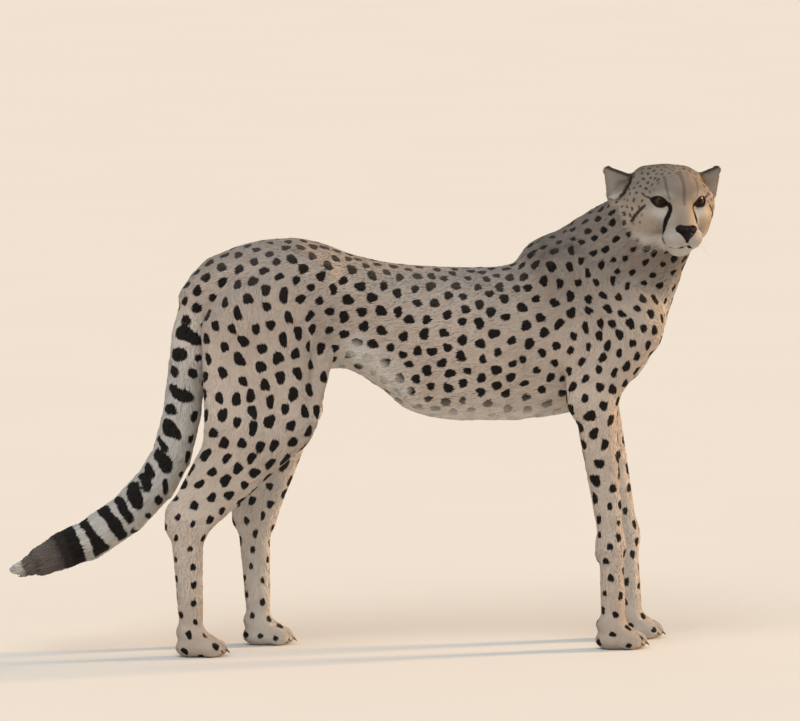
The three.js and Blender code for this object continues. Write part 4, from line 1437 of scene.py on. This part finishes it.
class Finish:
    """A material being made, with its surface shader."""

    def __init__(self, name, **constants):
        self.material = bpy.data.materials.new(name)
        self.material.use_nodes = True
        self.tree = self.material.node_tree
        self.surface = self.tree.nodes["Principled BSDF"]
        for key, value in constants.items():
            self.surface.inputs[key.replace("_", " ")].default_value = value

    def feed(self, socket, value):
        """Sets a socket's value, or links it."""
        if isinstance(value, Wire):
            self.tree.links.new(value.socket, socket)
        else:
            socket.default_value = value

    def node(self, kind, settings=None, values=(), out=0):
        """Adds a node: its settings first, then the values or links of its sockets, and one output."""
        made = self.tree.nodes.new(kind)
        for key, value in (settings or {}).items():
            if key == "stops":
                set_stops(made.color_ramp, value)
            else:
                setattr(made, key, value)
        pairs = values.items() if isinstance(values, dict) else enumerate(values)
        for key, value in pairs:
            self.feed(made.inputs[key], value)
        return Wire(self, made.outputs[out])

    def attribute(self, name, out="Fac"):
        return self.node("ShaderNodeAttribute", dict(attribute_name=name), out=out)

    def place(self):
        return self.node("ShaderNodeTexCoord", out="Object")

    def noise(self, scale, detail=2.0, roughness=0.5):
        values = {"Vector": self.place(), "Scale": scale, "Detail": detail, "Roughness": roughness}
        return self.node("ShaderNodeTexNoise", None, values)

    def step(self, value, low, high):
        """0 below low and 1 above high."""
        values = {"Value": value, "From Min": low, "From Max": high}
        return self.node("ShaderNodeMapRange", dict(interpolation_type="SMOOTHSTEP"), values)

    def mix(self, share, a, b):
        """Two colours mixed."""
        settings = dict(data_type="RGBA", clamp_factor=True)
        return self.node("ShaderNodeMix", settings, {0: share, 6: colour(a), 7: colour(b)}, out=2)

    def bump(self, height, strength, distance):
        values = {"Height": height, "Strength": strength, "Distance": distance}
        return self.node("ShaderNodeBump", None, values)

    def done(self, **links):
        for key, value in links.items():
            self.feed(self.surface.inputs[key.replace("_", " ")], value)
        return self.material


def colour(value):
    return value if isinstance(value, Wire) else (*value, 1.0)


def set_stops(ramp, stops):
    while len(ramp.elements) < len(stops):
        ramp.elements.new(1.0)
    for element, (position, value) in zip(ramp.elements, stops):
        element.position = position
        element.color = (*value, 1.0)


INK = (0.006, 0.0045, 0.004)
BARE = (0.016, 0.012, 0.012)


def coat_finish():
    """Short fur: tawny to white ground, near-black spots, bare lids and lips, and painted shade towards the
    roots of the tufts.
    """
    f = Finish("cheetah_coat", Sheen_Weight=0.03, Sheen_Roughness=0.5, Specular_IOR_Level=0.1)
    ground = f.attribute("tint", "Vector")
    tip, tone = f.attribute("tip"), f.attribute("tone")
    fine = f.noise(900.0, 2.0)
    patchy = f.noise(34.0, 3.0)
    strands = f.node("ShaderNodeCombineXYZ", None, (f.attribute("strand") * 1.6, tip * 1.2, 0.0))
    strands = f.node("ShaderNodeTexNoise", None, {"Vector": strands, "Scale": 1.0, "Detail": 2.0})
    # Each tuft darker towards its root: painted shade between the tufts, with hair a little lighter towards
    # its tips.
    shade = 0.90 + 0.1 * tip + 0.06 * tone
    shade = shade + 0.3 * (strands - 0.5) + 0.12 * (fine - 0.5) + 0.22 * (patchy - 0.5)
    values = {0: ground, 1: f.node("ShaderNodeCombineXYZ", None, (shade, shade, shade))}
    ground = f.node("ShaderNodeVectorMath", dict(operation="MULTIPLY"), values)
    ragged = f.attribute("mark") + 1.8 * (f.noise(420.0, 1.0) - 0.5) + 0.5 * tone
    inked = f.step(ragged, 1.0, -1.0) * f.attribute("ink") * (1.0 - 0.03 * tip)
    base = f.mix(inked, ground, INK)
    bare = f.attribute("bare")
    base = f.mix(bare, base, BARE)
    relief = f.bump(fine + 0.5 * f.noise(2200.0, 1.0), 0.35, 0.0006)
    return f.done(Base_Color=base, Roughness=0.78 - 0.42 * bare, Normal=relief)


def eye_finish():
    """Amber-brown iris, its colour darkened as painted shade, with a round pupil and a dark rim, wet over
    all.
    """
    wet = dict(Coat_Weight=0.6, Coat_Roughness=0.02, Coat_IOR=1.36)
    f = Finish("cheetah_eye", Roughness=0.6, Specular_IOR_Level=0.0, **wet)
    away = f.attribute("away")
    spokes = f.attribute("spoke")
    place = f.node("ShaderNodeCombineXYZ", None, (spokes * 14.0, away * 1.5, 0.0))
    fibres = f.node("ShaderNodeTexNoise", None, {"Vector": place, "Scale": 1.0})
    # The iris keeps its amber-brown hue but its stops are painted darker, as painted shade.
    stops = [
        (0.0, (0.003, 0.002, 0.002)), (0.19, (0.003, 0.002, 0.002)), (0.215, (0.024, 0.013, 0.007)),
        (0.32, (0.058, 0.031, 0.014)), (0.42, (0.038, 0.020, 0.010)), (0.50, (0.016, 0.007, 0.004)),
        (0.56, (0.010, 0.006, 0.005)), (1.0, (0.03, 0.018, 0.015)),
    ]
    base = f.node("ShaderNodeValToRGB", dict(stops=stops), (away + 0.05 * (fibres - 0.5),))
    return f.done(Base_Color=base)


def nose_finish():
    """Dark, pebbled bare skin."""
    f = Finish("cheetah_nose", Specular_IOR_Level=0.12)
    pebbles = f.node("ShaderNodeTexVoronoi", None, {"Vector": f.place(), "Scale": 1100.0})
    base = f.mix(f.step(f.noise(160.0), 0.35, 0.7), (0.008, 0.004, 0.006), (0.017, 0.008, 0.012))
    relief = f.bump(pebbles, 0.3, 0.0004)
    return f.done(Base_Color=base, Roughness=0.5 + 0.2 * f.noise(700.0), Normal=relief)


def claw_finish():
    """Dull brown horn."""
    f = Finish("cheetah_claw", Specular_IOR_Level=0.5)
    base = f.mix(f.noise(260.0, 3.0), (0.05, 0.038, 0.030), (0.16, 0.125, 0.095))
    return f.done(Base_Color=base, Roughness=0.28 + 0.25 * f.noise(500.0))


def whisker_finish():
    f = Finish("cheetah_whisker", Roughness=0.4)
    return f.done(Base_Color=f.mix(f.noise(300.0), (0.62, 0.58, 0.52), (0.86, 0.84, 0.80)))


def floor_finish():
    f = Finish("studio_floor", Specular_IOR_Level=0.2)
    base = f.mix(f.noise(2.0, 4.0), (0.70, 0.675, 0.63), (0.73, 0.705, 0.66))
    return f.done(Base_Color=base, Roughness=0.85 + 0.1 * f.noise(6.0))


# ---------------------------------------------------------------- eyes, nose, claws, whiskers
def place_in_frame(piece, matrix):
    """Moves a piece's mesh into the frame, so that the object stays at the origin."""
    piece.data.transform(matrix)
    piece.matrix_world = Matrix.Identity(4)


def head_matrix():
    turn = Matrix(HEAD_AXES.tolist()).to_4x4()
    return Matrix.Translation(to_metres(HEAD_AT)) @ turn @ Matrix.Scale(0.001, 4)


GAZE_OUTWARD = math.radians(7)
CORNEA_RISE = 0.045  # of the cornea, over the eye's radius


def make_eye(word, side):
    """An eyeball with a raised cornea, looking ahead."""
    bpy.ops.object.select_all(action="DESELECT")
    bpy.ops.mesh.primitive_uv_sphere_add(segments=56, ring_count=40, radius=EYE_RADIUS)
    eye = bpy.context.object
    eye.name = f"eyeball_{word}"
    co = np.empty(len(eye.data.vertices) * 3)
    eye.data.vertices.foreach_get("co", co)
    co = co.reshape(-1, 3)
    away = np.arccos(np.clip(co[:, 2] / EYE_RADIUS, -1, 1)) / (math.pi / 2)
    co *= (1 + CORNEA_RISE * smooth(0.62, 0.0, away))[:, None]
    eye.data.vertices.foreach_set("co", co.ravel())
    spoke = np.abs(np.arctan2(co[:, 1], co[:, 0]) / math.pi)
    add_values(eye.data, dict(away=away, spoke=spoke))
    gaze = Vector((math.cos(GAZE_OUTWARD), side * math.sin(GAZE_OUTWARD), -0.02))
    turn = Vector((0, 0, 1)).rotation_difference(gaze).to_matrix().to_4x4()
    place_in_frame(eye, head_matrix() @ Matrix.Translation(Vector(EYE_AT * (1, side, 1))) @ turn)
    bpy.ops.object.shade_smooth()
    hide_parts(f"eye_{word}")
    return eye


def nose_distance(q):
    """The pad of the nose with its comma-shaped nostrils and groove, in the head's frame."""

    def bar(start, end, r0, r1):
        return limb(NOSE_AT + start, NOSE_AT + end, r0, r1).distance(q)

    d = blend(nose_form(q), bar((5, 0, -8), (8, 0, -16), 3.2, 1.8), 3)
    for side in (1, -1):
        d = blend(d, bar((3, 13 * side, 4.5), (7.5, 5 * side, 5), 2.6, 2.8), 3)
        d = carve(d, bar((8.5, 6.2 * side, -0.8), (1.5, 15 * side, -3.2), 2.7, 1.3), 1.4)
    return carve(d, bar((11, 0, 5), (10.5, 0, -17), 1.0, 1.2), 1.6)


NOSE_ROOM = 26
NOSE_CELL = 0.8


def make_nose():
    low, high = NOSE_AT - NOSE_ROOM, NOSE_AT + NOSE_ROOM
    points, quads, triangles = net(nose_distance, low, high, NOSE_CELL, lambda p: np.zeros(len(p), int))
    points = settled(nose_distance, points, quads, triangles)
    loops, sizes = corner_table(quads, triangles)
    nose = mesh_piece("nose_pad", from_head(points), loops, sizes, {})
    nose.data.shade_smooth()
    return nose


CLAW_LENGTH = 15.0
CLAW_RADIUS = 3.6  # at its root
CLAW_BENDS = (-3, 2, 6)  # places of its extra rings, from its middle


def one_claw():
    """A blunt claw that curves down, its root at the origin and its tip towards +X."""
    bpy.ops.object.select_all(action="DESELECT")
    bpy.ops.mesh.primitive_cylinder_add(
        vertices=10, radius=CLAW_RADIUS, depth=CLAW_LENGTH, rotation=(0, math.pi / 2, 0)
    )
    claw = bpy.context.object
    bpy.ops.object.transform_apply(location=True, rotation=True, scale=True)
    edit(claw, *[
        lambda x=x: bpy.ops.mesh.bisect(plane_co=(x, 0, 0), plane_no=(1, 0, 0)) for x in CLAW_BENDS
    ])
    for vertex in claw.data.vertices:
        t = vertex.co.x / CLAW_LENGTH + 0.5
        thin = 1 - 0.82 * t**1.5
        vertex.co.y *= thin * 0.7
        vertex.co.z = vertex.co.z * thin * 1.15 - 6.0 * t * t
        vertex.co.x = t * CLAW_LENGTH
    modifier = claw.modifiers.new("round", "SUBSURF")
    modifier.levels = modifier.render_levels = 1
    bpy.ops.object.modifier_apply(modifier=modifier.name)
    bpy.ops.object.shade_smooth()
    return claw


def make_claws(pattern, word, leg, kind):
    """The four claws of one paw, each a copy of the pattern with its own mesh."""
    x, y, _ = joints_of(leg)(f"{kind}_paw")
    copies = []
    for place in TOES:
        claw = pattern.copy()
        claw.data = pattern.data.copy()
        bpy.context.scene.collection.objects.link(claw)
        at = to_metres((x + toe_front(place) + 12, y + place * TOE_SPACING, 15.5))
        tilt = Matrix.Rotation(math.radians(14), 4, "Y")
        splay = Matrix.Rotation(math.radians(4 * place), 4, "Z")
        place_in_frame(claw, Matrix.Translation(at) @ splay @ tilt @ Matrix.Scale(0.001, 4))
        copies.append(claw)
    bpy.ops.object.select_all(action="DESELECT")
    for claw in copies:
        claw.select_set(True)
    bpy.context.view_layer.objects.active = copies[0]
    bpy.ops.object.join()
    copies[0].name = f"claws_{kind}_{word}"
    return copies[0]


WHISKER_ROWS, WHISKER_COLUMNS = 4, 4
WHISKER_RADIUS = 0.28  # at its root
WHISKER_STEPS = 7
WHISKER_SIDES = 3


def make_whiskers(rng):
    """Fine pale whiskers from both pads, swept back and a little down, as one mesh."""
    points, faces = [], []
    for side, row, column in product((1, -1), range(WHISKER_ROWS), range(WHISKER_COLUMNS)):
        start = np.array([38 - 6.5 * column, (22 + 2.8 * column) * side, -53 - 4.2 * row - 0.6 * column])
        length = rng.uniform(40, 62)
        away = np.array([-0.28 - 0.12 * column, 0.9 * side, -0.16 - 0.14 * row + rng.uniform(-0.1, 0.1)])
        away = away / np.linalg.norm(away)
        bend = np.array([-0.5, 0, -0.35]) * rng.uniform(0.5, 1.0)
        first, last = len(points), len(points) + WHISKER_SIDES * (WHISKER_STEPS - 1)
        for i in range(WHISKER_STEPS):
            t = i / (WHISKER_STEPS - 1)
            centre = start + away * length * t + bend * length * 0.45 * t * t
            radius = WHISKER_RADIUS * (1 - 0.8 * t)
            for j in range(WHISKER_SIDES):
                angle = 2 * math.pi * j / WHISKER_SIDES
                points.append(centre + radius * np.array([math.cos(angle), 0, math.sin(angle)]))
        for ring, j in product(range(first, last, WHISKER_SIDES), range(WHISKER_SIDES)):
            a, b = ring + j, ring + (j + 1) % WHISKER_SIDES
            faces += [(a, b, b + WHISKER_SIDES), (a, b + WHISKER_SIDES, a + WHISKER_SIDES)]
        faces += [(first, first + 2, first + 1), (last, last + 1, last + 2)]
    faces = np.array(faces)
    piece = mesh_piece("whiskers", from_head(np.array(points)), faces.ravel(), np.full(len(faces), 3), {})
    edit(piece, lambda: bpy.ops.mesh.normals_make_consistent(inside=False))
    piece.data.shade_smooth()
    return piece


# ---------------------------------------------------------------- studio
AZIMUTH = math.radians(8)  # the camera stands to the animal's right and a little behind
ELEVATION = math.radians(6)
CAMERA_AT = 24000.0  # distance, from far off as through a long lens
VIEW_WIDTH = 1400.0  # what the picture's width takes in at the animal
AIM = (-19.1, -10.0, 507.2)
SENSOR_WIDTH = 36.0
FLOOR_RADIUS = 70  # metres
SUNS = [  # strength, colour, width, azimuth and height; angles in degrees
    ("key", 1.3, (1.0, 0.97, 0.93), 45, 25, 52),
    ("warm_side", 4.4, (1.0, 0.63, 0.30), 10, 259, 18),
]


def make_camera():
    camera = new_object("camera", bpy.data.cameras.new("camera"))
    back = np.array([
        -math.sin(AZIMUTH) * math.cos(ELEVATION),
        -math.cos(AZIMUTH) * math.cos(ELEVATION),
        math.sin(ELEVATION),
    ])
    camera.location = to_metres(np.array(AIM) + CAMERA_AT * back)
    camera.rotation_euler = Euler((math.pi / 2 - ELEVATION, 0, -AZIMUTH))
    camera.data.sensor_width = SENSOR_WIDTH
    camera.data.lens = SENSOR_WIDTH * CAMERA_AT / VIEW_WIDTH
    camera.data.clip_end = 200.0
    bpy.context.scene.camera = camera


def make_studio():
    bpy.ops.object.select_all(action="DESELECT")
    bpy.ops.mesh.primitive_circle_add(vertices=64, radius=FLOOR_RADIUS, fill_type="NGON")
    floor = bpy.context.object
    floor.name = "studio_floor"
    floor.data.materials.append(floor_finish())
    world = bpy.data.worlds.new("studio")
    bpy.context.scene.world = world
    world.use_nodes = True
    background = world.node_tree.nodes["Background"]
    background.inputs["Color"].default_value = (0.86, 0.93, 1.0, 1.0)
    background.inputs["Strength"].default_value = 0.55
    for name, strength, tint, wide, azimuth, height in SUNS:
        light = bpy.data.lights.new(name, "SUN")
        light.energy, light.color, light.angle = strength, tint, math.radians(wide)
        turn = (math.radians(90 - height), 0, math.radians(-azimuth))
        new_object(name, light).rotation_euler = Euler(turn)
    bpy.context.scene.view_settings.view_transform = "Standard"


# ---------------------------------------------------------------- the whole animal
SKIN_TIP = 0.2  # painted shade of the bare skin, the same as at this share of a tuft's length
SKIN_ROOM = (-760.0, -260.0, -20.0), (620.0, 190.0, 900.0)  # a box that holds the whole skin


def make_skin():
    """The skin's points, normals, quads and triangles."""
    points, quads, triangles = net(body, *SKIN_ROOM, CELL, skin_level)
    points = settled(body, points, quads, triangles)
    normals = unit(slope_of(body, points))
    return points, normals, quads, triangles


def dress(piece, material):
    piece.data.materials.append(material)
    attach(piece, "root")


def make_animal():
    rng = np.random.default_rng(SEED)
    points, normals, quads, triangles = make_skin()
    loops, sizes = corner_table(quads, triangles)
    corners = np.concatenate([quads[:, [0, 1, 2]], quads[:, [0, 2, 3]], triangles])
    spots = place_spots(points, normals, corners, areas_of(points, corners), rng)
    lines = [
        Line(mirrored(line, side), start, end, ink)
        for line, start, end, ink in FACE_LINES for side in (1, -1)
    ]
    values = values_at(points, normals, survey(points), spots, lines)
    # The bare skin takes the painted root shade of the tufts.
    values["tip"] = np.full(len(points), SKIN_TIP)
    values["tone"] = np.zeros(len(points))
    skin = mesh_piece("skin", points, loops, sizes, values)
    skin.data.shade_smooth()
    unwrap(skin)
    coat = coat_finish()
    dress(skin, coat)
    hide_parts(*[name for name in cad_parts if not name.startswith("eye_")])
    for piece in make_coat(skin, points, normals, spots, lines, rng):
        dress(piece, coat)
    eye = eye_finish()
    for word, side in (("right", -1), ("left", 1)):
        dress(make_eye(word, side), eye)
    dress(make_nose(), nose_finish())
    pattern = one_claw()
    horn = claw_finish()
    for word, leg in LEGS.items():
        for kind in ("hind", "fore"):
            dress(make_claws(pattern, word, leg, kind), horn)
    bpy.data.objects.remove(pattern)
    dress(make_whiskers(rng), whisker_finish())


make_camera()
make_animal()
make_studio()
